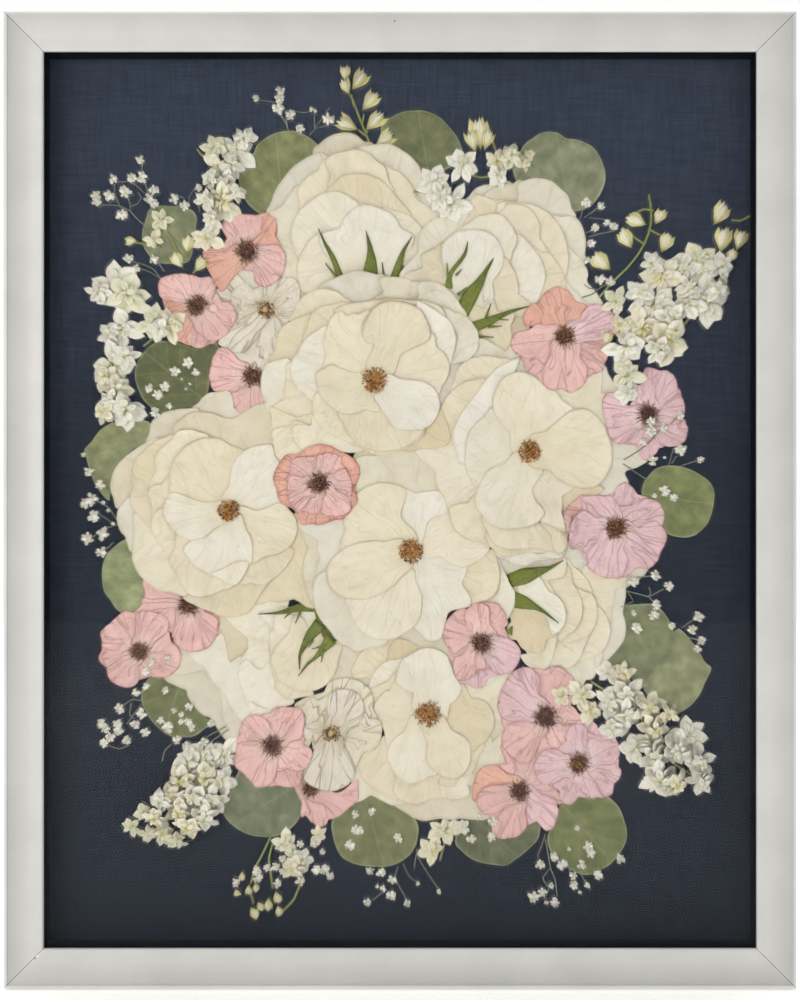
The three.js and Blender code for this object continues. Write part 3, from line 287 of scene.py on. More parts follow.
        (0.25, "596,440 612,441 621,453 625,466 626,480 619,493 605,500 590,490"),
        (0.45, "572,391 577,387 585,388 594,393 601,400 604,408 606,420 600,440 570,430 565,405"),
        (0.4, "452,441 444,447 438,455 435,466 435,478 438,488 444,496 452,504 462,508 475,500 "
              "478,470 465,450"),
        (0.5, "450,506 450,515 453,526 460,534 470,540 482,541 492,540 500,530 490,515 470,503"),
        (0.1, "500,548 502,556 508,561 517,564 527,565 536,561 543,554 540,546 520,540"),
        (0.15, "536,548 542,553 549,557 558,558 565,554 567,547 560,540 545,538"),
        (0.5, "488,540 494,550 505,556 525,553 540,549 545,535 500,530"),
        (0.45, "486,520 487,530 491,539 498,546 508,549 522,549 536,547 546,541 551,533 553,526 "
               "540,515 500,510"),
        (0.6, "553,528 560,527 567,530 568,541 564,551 557,552 552,543"),
        (0.7, "545,480 560,490 580,492 598,490 590,500 575,510 566,520 568,528 555,520 545,500"),
        (0.5, "455,388 455,378 458,368 465,360 475,356 487,355 500,357 508,362 500,385 480,400 462,398"),
        (0.6, "441,420 441,409 445,399 453,389 463,382 473,379 482,382 480,400 465,420 456,438 "
              "450,440 444,432"),
        (0.05, "522,360 510,360 498,366 488,377 478,391 467,405 458,419 453,433 455,446 463,460 "
               "475,450 490,425 500,400 510,378"),
        (0.35, "489,417 480,419 473,426 468,434 466,445 465,458 466,468 470,477 477,480 490,470 "
               "510,465 527,455 520,440 505,431 497,424"),
        (0.4, "530,465 545,470 556,478 562,490 563,505 562,515 568,528 556,527 546,521 535,505 528,485"),
        (0.4, "520,441 510,432 500,421 494,410 493,399 496,389 502,379 510,373 520,371 531,373 "
              "541,380 550,388 558,391 562,400 561,411 556,420 551,430 542,438 531,445"),
        (0.35, "500,465 492,467 486,473 480,483 476,492 475,500 477,508 484,517 492,524 502,528 "
               "515,528 530,526 540,520 545,511 538,503 534,495 532,480 528,465 515,460"),
        (0.5, "540,438 549,429 558,420 568,412 578,408 588,408 597,414 604,423 610,436 613,450 "
              "613,462 609,472 603,481 595,487 583,488 570,485 557,477 548,468 543,460"),
    ]),
    "rose_middle": ((374, 379), [
        (0.2, "322,286 333,278 344,273 353,270 364,270 374,273 384,279 393,288 398,298 385,315 "
              "350,320 328,300"),
        (0.35, "378,279 388,276 398,276 408,278 417,284 423,292 425,302 410,315 390,300"),
        (0.3, "417,285 426,280 436,281 446,286 453,293 459,301 462,310 458,322 440,320 425,305"),
        (0.3, "445,312 455,311 466,315 473,322 478,331 479,342 476,352 468,359 458,360 448,345"),
        (0.5, "293,316 295,305 301,297 309,291 320,288 332,289 343,295 348,305 340,320 315,330 300,325"),
        (0.6, "278,331 285,323 296,317 307,316 312,325 308,345 298,360 288,364 280,355 275,345"),
        (0.2, "268,361 262,370 260,383 262,395 267,405 276,411 287,417 298,410 295,380 285,360"),
        (0.45, "287,366 285,380 283,392 285,402 290,415 300,424 315,430 325,428 320,400 310,380 298,366"),
        (0.5, "268,405 270,412 272,425 278,432 285,438 295,440 305,435 300,420 285,412"),
        (0.4, "272,430 273,445 277,458 290,462 305,455 320,445 310,430 292,425"),
        (0.35, "293,424 292,436 297,445 305,450 325,450 345,450 350,440 330,430 310,425"),
        (0.75, "408,447 425,448 440,447 450,440 448,425 440,412 420,425"),
        (0.45, "345,440 350,437 360,446 370,452 382,455 395,452 408,447 415,438 420,428 400,415 "
               "370,415 350,425"),
        (0.55, "305,335 307,325 310,315 317,308 327,304 340,304 350,310 345,325 325,335 312,340"),
        (0.45, "338,312 345,304 360,301 378,299 395,298 412,300 425,300 440,308 430,330 360,330"),
        (0.05, "418,303 430,306 441,313 450,320 454,328 456,338 455,348 450,358 440,365 425,355 425,330"),
        (0.15, "325,329 316,330 308,335 301,344 296,353 291,362 290,372 293,382 298,389 307,393 "
               "318,390 325,370 332,360 328,345"),
        (0.45, "315,396 312,405 313,415 318,424 325,430 335,436 345,440 352,440 348,425 342,412 330,400"),
        (0.45, "342,412 343,422 347,432 355,441 365,447 378,451 392,450 405,447 414,440 420,430 "
               "410,420 392,405 375,397 360,405"),
        (0.4, "392,361 402,352 413,347 425,344 437,346 446,354 449,362 450,370 446,380 438,389 "
              "425,390 405,385 390,375"),
        (0.4, "347,315 340,309 333,314 328,323 325,333 323,345 326,352 330,361 340,366 352,371 "
              "365,368 375,360 372,345 365,325 355,312"),
        (0.5, "362,332 365,321 370,312 378,304 388,301 400,301 412,304 421,310 427,319 430,330 "
              "430,338 420,344 408,349 396,357 385,366 375,362 372,352 375,345 365,340"),
        (0.45, "331,363 322,368 315,373 316,383 318,391 323,399 330,406 340,412 350,414 360,411 "
               "368,404 375,396 368,385 360,375 352,371 340,367"),
        (0, "376,399 380,407 386,416 392,424 400,429 412,430 422,429 431,424 437,416 440,406 "
            "439,396 434,387 425,381 412,379 398,378 388,382 380,392"),
    ]),
}

# Small white flowers, described in the same way.
WHITE_FLOWERS = {
    "white_flower_left": ((265, 309), [
        (0.1, "224,292 236,275 254,274 266,292 252,308 231,305"),
        (0.05, "240,353 250,352 262,356 266,364 258,367 248,363"),
        (0.05, "254,325 262,323 270,325 278,330 279,345 276,354 268,358 258,356 252,345"),
        (0.05, "232,290 240,283 247,282 252,288 258,298 258,305 245,303 235,302 230,297"),
        (0.05, "262,290 270,282 280,277 292,276 299,285 299,300 292,315 284,323 278,315 272,303"),
        (0.05, "237,318 240,308 250,303 258,306 258,315 250,322 240,328 235,326"),
        (0.05, "217,341 225,333 235,328 245,323 254,319 256,328 252,340 247,348 240,352 230,350 222,346"),
    ]),
    "white_flower_bottom": ((331, 734), [
        (0.35, "322,716 320,705 325,690 330,682 345,678 360,682 370,690 373,700 370,710 360,715"),
        (0.3, "303,712 305,703 312,698 319,703 320,715 316,722 309,725 304,720"),
        (0.05, "302,742 300,735 305,727 315,722 325,719 330,725 325,733 315,738 306,742"),
        (0.3, "340,728 350,728 360,722 370,719 379,720 382,730 380,742 373,750 360,754 348,755 "
              "340,748 338,738"),
        (0.02, "333,727 328,715 327,702 331,693 337,690 348,690 358,694 363,703 364,712 360,722 "
               "350,728 342,727"),
        (0.05, "315,745 325,738 335,743 345,751 352,760 355,773 350,783 340,790 328,792 315,788 "
               "306,782 302,775 305,762 312,755"),
    ]),
}

# Pink flowers: the centre, how wide the stamens are, then the petals with the shade of each.
PINK_FLOWERS = {
    "pink_flower_01": ((246, 250), 12, [
        ("pink", "230,240 223,232 221,222 226,215 235,212 250,213 262,215 270,220 272,230 268,240 "
                 "255,247 240,246"),
        ("coral", "262,216 275,217 275,228 272,241 262,248"),
        ("pink", "254,250 262,244 275,243 284,250 285,262 281,275 272,283 262,286 255,280 252,268 250,258"),
        ("coral", "236,250 218,246 203,248 202,258 208,270 214,282 221,291 230,280 240,268 246,258"),
    ]),
    "pink_flower_02": ((196, 304), 11, [
        ("coral", "165,310 175,305 185,310 195,318 195,330 188,340 178,341 168,336 163,325"),
        ("pink", "185,335 193,330 205,332 212,338 205,345 195,347 188,342"),
        ("pink", "203,308 215,301 226,300 234,307 235,318 228,330 220,338 210,340 200,335 192,325 195,315"),
        ("pink", "157,290 158,280 166,274 178,272 190,273 200,276 210,275 215,285 213,295 205,300 "
                 "190,300 178,301 168,300 160,296"),
    ]),
    "pink_flower_03": ((252, 375), 11, [
        ("pink", "240,385 250,388 258,385 263,395 266,408 267,420 255,415 243,411 233,404 235,393"),
        ("pink", "245,365 238,358 228,348 219,346 213,355 209,368 209,382 214,390 225,392 235,390 243,382"),
    ]),
    "pink_flower_04": ((319, 483), 11, [
        ("coral", "280,460 285,454 298,453 308,446 318,443 330,446 340,450 350,455 357,462 360,470 "
                  "357,480 355,490 357,500 350,503 345,510 338,517 328,522 318,524 308,524 299,526 "
                  "298,515 292,508 285,505 278,500 276,490 273,480 275,468"),
        ("pink", "290,462 300,456 316,459 318,470 316,482 302,484 290,478"),
        ("pink", "316,458 328,452 340,456 341,468 336,480 320,482"),
        ("pink", "334,472 344,468 351,480 351,494 344,505 334,500 330,486"),
        ("pink", "322,492 336,490 350,500 348,512 334,516 322,512"),
        ("pink", "302,494 314,492 321,500 319,512 306,512 299,504"),
        ("pink", "288,477 298,476 308,484 308,500 298,510 288,500"),
    ]),
    "pink_flower_05": ((566, 335), 11, [
        ("pink", "578,343 588,340 600,343 610,350 606,362 603,370 592,372 583,362 576,352"),
        ("pink", "525,362 535,358 548,350 552,355 546,368 543,378 535,374 526,369"),
        ("coral", "540,300 545,292 555,286 565,287 573,295 578,308 578,318 570,322 555,318 540,318 "
                  "527,324 524,315 530,305"),
        ("pink", "552,330 540,322 530,328 517,332 511,340 514,350 522,356 533,358 543,352 550,342"),
        ("pink", "557,348 550,355 544,367 543,378 548,388 556,389 563,388 570,392 577,390 586,382 "
                 "589,370 583,358 575,350 566,347"),
        ("lilac", "582,338 579,325 582,312 588,305 595,302 605,304 614,311 618,320 616,332 608,338 "
                  "595,340"),
    ]),
    "pink_flower_06": ((649, 413), 11, [
        ("lilac", "638,425 635,435 637,445 641,455 647,460 655,455 660,447 658,430 650,424"),
        ("lilac", "658,420 675,420 688,424 689,432 685,442 675,446 662,444 655,435"),
        ("lilac", "660,405 668,393 678,392 685,400 686,412 682,422 672,424 660,420"),
        ("lilac", "645,372 650,366 660,369 670,370 677,378 679,390 672,398 660,402 652,395"),
        ("lilac", "638,395 640,385 650,378 655,385 656,397 650,403 642,402"),
        ("lilac", "640,412 630,405 618,393 608,392 603,400 604,413 607,425 611,437 617,443 628,441 "
                  "635,433 640,422"),
    ]),
    "pink_flower_07": ((617, 528), 12, [
        ("pink", "582,500 572,503 565,513 565,522 570,528 577,518 583,510"),
        ("lilac", "620,515 614,505 613,495 620,485 628,482 636,490 641,499 636,507 628,515"),
        ("lilac", "628,520 630,508 640,500 650,498 660,502 665,512 664,521 650,525 638,528"),
        ("lilac", "628,530 640,527 655,520 665,528 668,540 662,552 658,562 648,569 637,568 627,575 "
                  "625,560 622,543"),
        ("lilac", "583,505 582,497 592,495 605,495 614,497 620,508 618,518 608,520 597,515 588,511"),
        ("lilac", "585,510 577,515 571,525 569,538 571,548 580,549 590,549 598,540 603,530 600,520"),
        ("lilac", "600,540 592,548 588,557 589,567 597,574 608,578 620,578 627,568 628,555 "
                  "620,543 610,538"),
    ]),
    "pink_flower_08": ((482, 644), 11, [
        ("pink", "487,606 497,604 503,610 507,618 508,625 500,632 497,638 490,636"),
        ("pink", "472,640 466,628 465,613 458,610 449,618 444,628 444,640 450,650 458,652 468,650"),
        ("lilac", "472,668 480,662 487,670 488,680 482,688 474,688 466,682"),
        ("pink", "470,650 460,655 454,660 454,672 458,680 468,680 478,672 481,660"),
        ("pink", "466,625 465,613 472,605 480,603 488,606 490,620 489,632 478,633 470,631"),
        ("lilac", "490,640 500,636 512,640 520,648 521,658 516,668 508,674 498,675 490,668 486,655"),
    ]),
    "pink_flower_09": ((187, 605), 11, [
        ("pink", "180,600 165,593 155,587 147,583 143,595 140,603 145,612 152,618 165,622 175,618 182,610"),
        ("pink", "200,608 210,612 218,618 217,630 205,630"),
        ("pink", "180,612 173,625 171,637 178,648 190,652 203,650 213,642 217,630 217,618 205,612 195,610"),
    ]),
    "pink_flower_10": ((138, 652), 10, [
        ("pink", "101,638 112,630 130,632 138,652 122,668 103,660"),
        ("pink", "145,650 155,643 165,640 175,645 180,655 178,667 170,675 160,678 148,675 145,662"),
        ("pink", "130,655 118,651 105,650 100,657 105,668 107,678 115,685 125,688 135,685 138,672"),
        ("pink", "133,645 125,640 115,640 105,640 102,630 110,622 120,613 128,611 134,617 134,630"),
        ("pink", "135,640 134,625 136,613 148,611 162,615 168,622 165,633 155,641 145,648"),
    ]),
    "pink_flower_11": ((272, 747), 11, [
        ("pink", "278,760 275,775 270,783 280,787 293,788 300,783 300,772 290,768"),
        ("pink", "282,750 295,743 305,746 312,752 310,762 303,770 293,772 283,765"),
        ("pink", "275,738 270,728 270,715 275,708 288,707 300,709 304,717 303,730 300,740 288,741"),
        ("pink", "268,742 258,740 245,740 238,738 240,727 244,719 253,715 262,717 269,725 270,735"),
        ("pink", "262,745 250,742 238,743 235,755 234,766 241,773 250,782 257,789 268,786 275,778 "
                 "277,765 272,757"),
    ]),
    "pink_flower_12": ((310, 790), 8, [
        ("pink", "299,792 306,795 309,805 306,815 300,818 301,805"),
        ("pink", "310,808 320,810 328,815 326,825 318,828 312,822"),
        ("pink", "315,795 325,793 340,793 350,785 357,778 358,788 358,800 350,808 343,814 336,818 "
                 "328,810 320,803"),
    ]),
    "pink_flower_13": ((546, 717), 13, [
        ("pink", "556,705 565,703 575,708 579,716 573,724 562,722 556,715"),
        ("pink", "540,735 545,732 555,730 562,727 565,735 563,745 555,752 545,752 538,745"),
        ("pink", "533,722 522,722 510,724 503,735 502,745 509,755 518,762 528,764 535,757 540,745 541,730"),
        ("pink", "543,700 541,688 543,675 551,667 560,667 570,674 576,682 575,692 568,697 555,702"),
        ("lilac", "538,703 540,690 540,678 534,670 525,667 515,671 507,680 501,692 498,705 501,717 "
                  "510,722 522,721 532,716"),
    ]),
    "pink_flower_14": ((580, 764), 11, [
        ("lilac", "575,777 565,782 560,790 561,800 569,806 577,801 582,792 580,782"),
        ("lilac", "580,778 578,787 585,795 593,799 600,795 597,783 590,775"),
        ("lilac", "590,768 603,767 613,766 622,770 620,780 615,785 613,795 603,797 597,785"),
        ("lilac", "580,725 590,721 598,726 599,735 594,745 586,752"),
        ("lilac", "588,758 592,748 598,737 607,733 615,737 621,748 620,758 612,766 600,765"),
        ("lilac", "575,752 568,745 567,735 571,727 580,724 587,728 588,740 584,752"),
        ("lilac", "568,765 563,753 553,749 543,752 536,762 535,773 540,782 550,785 560,782 568,775"),
    ]),
    "pink_flower_15": ((520, 792), 11, [
        ("pink", "505,758 512,755 518,765 518,778 510,772"),
        ("pink", "521,782 518,772 523,765 530,766 538,775 545,785 550,795 540,797 530,792"),
        ("lilac", "527,800 532,812 540,825 547,832 555,827 559,812 555,800 545,796 535,796"),
        ("pink", "505,810 498,818 492,828 495,838 505,840 517,838 526,830 528,820 524,810 518,805"),
        ("coral", "510,784 508,775 500,768 490,766 480,770 475,780 473,792 476,800 484,790 498,786"),
        ("pink", "513,790 505,786 492,786 482,790 477,800 479,810 488,816 500,812 510,805 514,797"),
    ]),
}

# Eucalyptus leaves: the blade's colour and its outline.
LEAVES = {
    "eucalyptus_leaf_01": (
        "#7D8358",
        "240,155 252,152 256,143 263,137 272,132 281,129 292,128 302,131 310,136 317,142 320,150 "
        "322,165 300,200 285,215 270,217 258,211 248,203 241,192 238,180 237,168",
    ),
    "eucalyptus_leaf_02": (
        "#6E7450",
        "380,128 386,119 394,113 404,109 415,108 428,109 440,115 449,124 457,134 461,143 463,150 "
        "458,158 450,165 440,170 428,172 415,165 400,150 388,140",
    ),
    "eucalyptus_leaf_03": (
        "#858B6F",
        "520,150 525,142 533,136 541,131 550,129 560,131 567,136 578,137 588,141 596,147 602,157 "
        "606,168 606,180 602,191 596,200 588,206 578,209 570,209 565,195 545,182 530,180 518,181 "
        "515,173 513,165 516,158",
    ),
    "eucalyptus_leaf_04": (
        "#7B8263",
        "148,207 157,204 170,204 182,205 192,209 196,216 195,225 193,240 190,255 185,261 172,262 "
        "158,261 150,256 144,248 141,240 141,230 143,222 146,214",
    ),
    "eucalyptus_leaf_05": (
        "#5F6640",
        "148,345 158,340 170,340 185,344 198,348 208,343 215,340 219,344 214,355 210,368 208,385 "
        "205,398 196,410 180,412 160,412 148,405 140,395 134,380 134,368 138,357",
    ),
    "eucalyptus_leaf_06": (
        "#8A9068",
        "83,449 90,441 98,430 108,423 118,419 130,417 142,419 150,423 149,435 147,442 135,446 122,458 "
        "112,470 110,485 111,498 107,501 100,493 93,482 88,470 85,458",
    ),
    "eucalyptus_leaf_07": (
        "#8F9870",
        "131,538 122,540 112,547 104,556 101,567 101,582 103,592 109,600 114,608 122,614 132,616 "
        "140,608 143,595 146,585 140,570 132,558",
    ),
    "eucalyptus_leaf_08": (
        "#6B7247",
        "191,652 181,651 178,662 170,675 160,678 148,678 141,690 140,700 144,712 151,722 160,731 "
        "170,737 182,738 193,737 203,730 213,722 200,715 190,700 186,690 188,672",
    ),
    "eucalyptus_leaf_09": (
        "#737A5F",
        "240,770 232,785 228,797 222,808 223,816 229,824 238,831 249,836 262,838 272,838 283,834 "
        "293,827 300,817 302,805 300,790 290,785 270,783 250,778",
    ),
    "eucalyptus_leaf_10": (
        "#767C55",
        "360,788 352,802 343,812 333,818 331,828 334,842 339,855 347,862 358,866 370,868 385,868 "
        "397,865 408,858 415,849 418,838 418,825 410,815 397,807 385,800 370,793",
    ),
    "eucalyptus_leaf_11": (
        "#666C50",
        "455,843 462,852 470,859 482,864 495,866 506,867 516,861 527,852 537,843 541,832 540,822 "
        "525,815 500,820 480,815 468,815 460,825",
    ),
    "eucalyptus_leaf_12": (
        "#727A4E",
        "548,840 553,825 560,808 568,803 580,797 593,799 604,795 612,800 620,808 625,820 628,833 "
        "626,846 619,857 612,865 604,870 593,876 580,875 568,869 558,862 551,852",
    ),
    "eucalyptus_leaf_13": (
        "#7C8456",
        "643,490 645,482 650,475 657,468 667,465 678,465 690,468 700,473 710,480 715,488 716,498 "
        "714,510 710,521 703,530 694,536 682,537 672,535 667,531 660,515 650,500 644,497",
    ),
    "eucalyptus_leaf_14": (
        "#7A8160",
        "621,609 630,605 642,604 653,604 662,609 669,618 674,628 676,640 674,652 668,662 660,668 "
        "652,675 645,688 638,684 630,677 620,672 608,668 603,664 612,655 622,640 627,628 625,615",
    ),
    "eucalyptus_leaf_15": (
        "#8E9470",
        "676,627 686,633 694,643 701,652 706,662 713,668 710,676 706,684 701,695 693,705 683,712 "
        "672,716 662,706 652,698 645,690 650,678 660,668 670,655 676,642",
    ),
}

# Baby's breath: puffs as "x,y,reach", then the twigs.
BABYS_BREATH = {
    "babys_breath_01": (
        "255,96,3.5 280,88,5 279,96,5 278,106,6 290,113,5 300,126,5 328,117,6.5 311,107,2.5 315,109,2",
        [
            "258,97 277,100",
            "279,110 285,120 288,128",
            "285,112 287,125",
            "285,108 305,110 312,108",
            "314,110 314,125",
            "325,110 330,105",
            "330,122 315,126 309,133",
            "325,112 314,126",
        ],
    ),
    "babys_breath_02": (
        "139,158,4.5 112,177,5 131,176,5 141,175,5.5 153,188,5 147,196,5 153,202,5 124,190,6 "
        "108,194,5.5 95,194,5 95,200,5 121,213,6 173,197,5 184,204,5 198,186,4 127,257,5 135,267,4 "
        "153,258,5",
        [
            "143,223 139,220 132,213 129,209 121,206",
            "129,209 119,204 110,203 100,203",
            "119,206 116,198 113,192 113,182",
            "129,209 129,203 126,195",
            "129,205 136,202 140,196 137,190",
            "143,191 135,183 127,179 117,180",
            "147,191 144,182 142,178",
            "140,170 141,160",
            "188,205 188,195 193,187 198,185",
            "178,194 183,196 184,202",
            "195,190 199,210",
            "131,260 143,263 152,267 159,276",
            "139,267 148,270 160,277",
            "155,257 163,270",
        ],
    ),
    "babys_breath_03": (
        "174,370,5 187,362,5.5 195,371,4 148,387,4.5 157,394,5 164,386,5 154,412,5 168,405,3 "
        "181,378,1.5 189,383,1.5 185,388,1.5",
        [
        ],
    ),
    "babys_breath_04": (
        "82,454,2.5 88,471,5 99,484,5 90,499,6 83,503,5 92,516,6 101,534,6 86,538,6 100,552,5.5 "
        "102,502,2 107,510,2 112,523,2 104,528,2",
        [
            "91,474 108,489 122,501",
            "95,500 107,507 116,520",
            "97,513 113,524",
            "90,538 98,531 104,528 117,524",
            "105,549 112,542",
        ],
    ),
    "babys_breath_05": (
        "118,709,5 140,714,5 100,724,5 104,730,4.5 116,725,5 117,732,5 134,725,5.5 144,733,5 "
        "109,738,5 103,744,4.5 125,741,4.5 145,687,4 164,691,4 160,721,4 167,728,5.5 188,707,4 "
        "180,715,3 187,722,4 173,711,3 191,728,4 176,740,4.5 210,724,4 180,722,3 185,746,4 203,743,5 "
        "150,662,4 145,672,4 167,659,3.5 135,693,4",
        [
            "140,701 130,700 122,706",
            "130,703 128,715 133,720",
            "140,705 125,725",
            "170,745 163,752 161,762",
            "225,727 205,738",
            "228,730 210,742",
            "105,746 118,750 128,746",
        ],
    ),
    "babys_breath_06": (
        "235,884,4.5 256,872,5 258,879,5 267,869,4 275,868,4.5 282,860,4 282,873,4 277,885,4.5 "
        "300,882,5 314,845,4.5 316,871,5 325,871,5 330,878,4 300,845,4 322,853,3",
        [
        ],
    ),
    "babys_breath_07": (
        "370,872,4 381,874,4.5 392,881,4.5 383,890,3 377,888,2 367,904,4 391,897,5 407,905,4 "
        "418,885,2 439,893,2.5 355,815,4 372,812,4 355,831,5 360,831,4 350,846,5 398,839,4.5",
        [
            "398,868 394,880",
            "396,882 402,893 407,902",
            "385,892 372,902",
            "403,865 409,878 417,884",
            "417,850 417,857 426,872 438,890",
            "416,857 414,870",
        ],
    ),
    "babys_breath_08": (
        "472,840,5 492,838,5 493,822,5 478,817,3 555,858,5 563,866,5.5 541,866,4.5 583,866,5 "
        "589,847,5 592,854,4.5 621,860,4.5 599,876,5 574,877,4 575,886,4.5 588,887,3 581,894,2 "
        "543,894,4.5 534,899,5.5 556,904,5 547,904,2.5 552,887,3 578,829,3 570,850,2",
        [
            "546,835 543,845 538,858",
            "546,840 550,862 551,870 556,880 558,898",
            "550,870 543,880 550,890 545,900",
            "570,870 574,880",
            "580,872 587,885",
            "600,868 598,875",
        ],
    ),
    "babys_breath_09": (
        "657,575,5 670,586,5 635,582,5 657,605,5 655,615,5 638,628,5.5 673,626,3.5 700,617,5.5 "
        "694,630,5 703,641,4.5 699,649,4 635,613,3",
        [
            "628,591 640,594 650,597 665,589",
            "650,597 652,592 650,587",
            "650,597 655,602",
            "628,591 635,601 622,607",
            "638,577 652,576",
            "683,628 695,620",
            "690,638 700,640",
        ],
    ),
    "babys_breath_10": (
        "652,421,5 653,430,5 665,427,4.5 681,414,4.5 644,441,4 682,449,6 654,460,5 637,460,2 "
        "666,457,1.5 702,459,3.5 666,490,5.5 675,497,4.5 656,495,2.5",
        [
            "662,428 652,440 643,448 632,455 625,459",
            "672,423 680,415",
            "670,465 675,447",
            "673,463 678,455",
            "683,465 698,460",
            "624,463 648,479",
        ],
    ),
    "babys_breath_11": (
        "587,201,5 602,204,4 608,221,3.5 615,225,4.5 596,226,4 592,242,4.5 587,258,4 601,278,5 "
        "611,280,5",
        [
            "581,217 584,207",
            "585,216 600,205",
            "590,216 604,217 608,219",
            "587,231 597,226",
            "590,235 600,232 615,229",
            "583,296 593,293 605,283 610,284",
            "585,283 590,287 598,288",
        ],
    ),
}

# Stamens of the roses seen from the front: how wide the cluster is, in drawing units.
ROSE_STAMENS = {
    "rose_bottom": 13,
    "rose_left": 11,
    "rose_lower_middle": 12,
    "rose_right": 11,
    "rose_middle": 13,
}

# Green sepals of the roses seen from the side: "x,y,width" along each one, from its base to its tip.
ROSE_SEPALS = {
    "rose_upper_left": [
        "340,276,7 333,257,5 325,243,3 318,227,0.6",
        "370,274,16 371,258,10 370,247,5 366,230,0.6",
        "395,277,10 399,262,7 403,250,4 412,235,0.6",
        "384,276,3 382,261,0.5",
        "399,275,3 404,264,0.5",
        "336,276,3 325,262,0.5",
    ],
    "rose_upper_right": [
        "449,287,8 449,276,5 453,268,4 461,259,4 466,251,3 468,240,0.6",
        "448,276,3 447,262,0.5",
        "456,274,3 462,268,0.5",
        "462,312,14 470,295,16 480,281,9 486,270,4 490,263,3 494,257,0.6",
        "458,294,4 467,286,0.5",
        "474,326,11 490,320,9 502,314,5 515,309,3 530,305,0.6",
        "486,317,3 491,303,0.5",
        "488,326,3 502,325,0.5",
        "497,318,2.5 509,319,0.5",
        "476,335,3 494,336,0.5",
    ],
    "rose_lower_left": [
        "322,604,18 326,622,20 334,642,16",
        "313,606,12 300,607,9 290,610,6 278,613,3 258,614,0.6",
        "289,613,2.5 284,618,0.5",
        "300,612,2.5 295,623,0.5",
        "320,624,14 310,635,10 304,645,6 299,655,3 299,670,0.6",
        "307,632,2.5 303,640,0.5",
        "313,640,2.5 308,648,0.5",
        "331,639,14 322,650,7 315,658,3.5 307,664,2.5 298,676,0.6",
        "325,645,3 312,649,0.5",
        "323,650,3 321,662,0.5",
    ],
    "rose_lower_right": [
        "509,581,13 525,576,17 540,571,9 550,568,4 564,560,0.6",
        "512,599,17 526,603,13 536,607,6 545,612,3 559,623,0.6",
        "509,634,8 513,626,0.6",
    ],
}

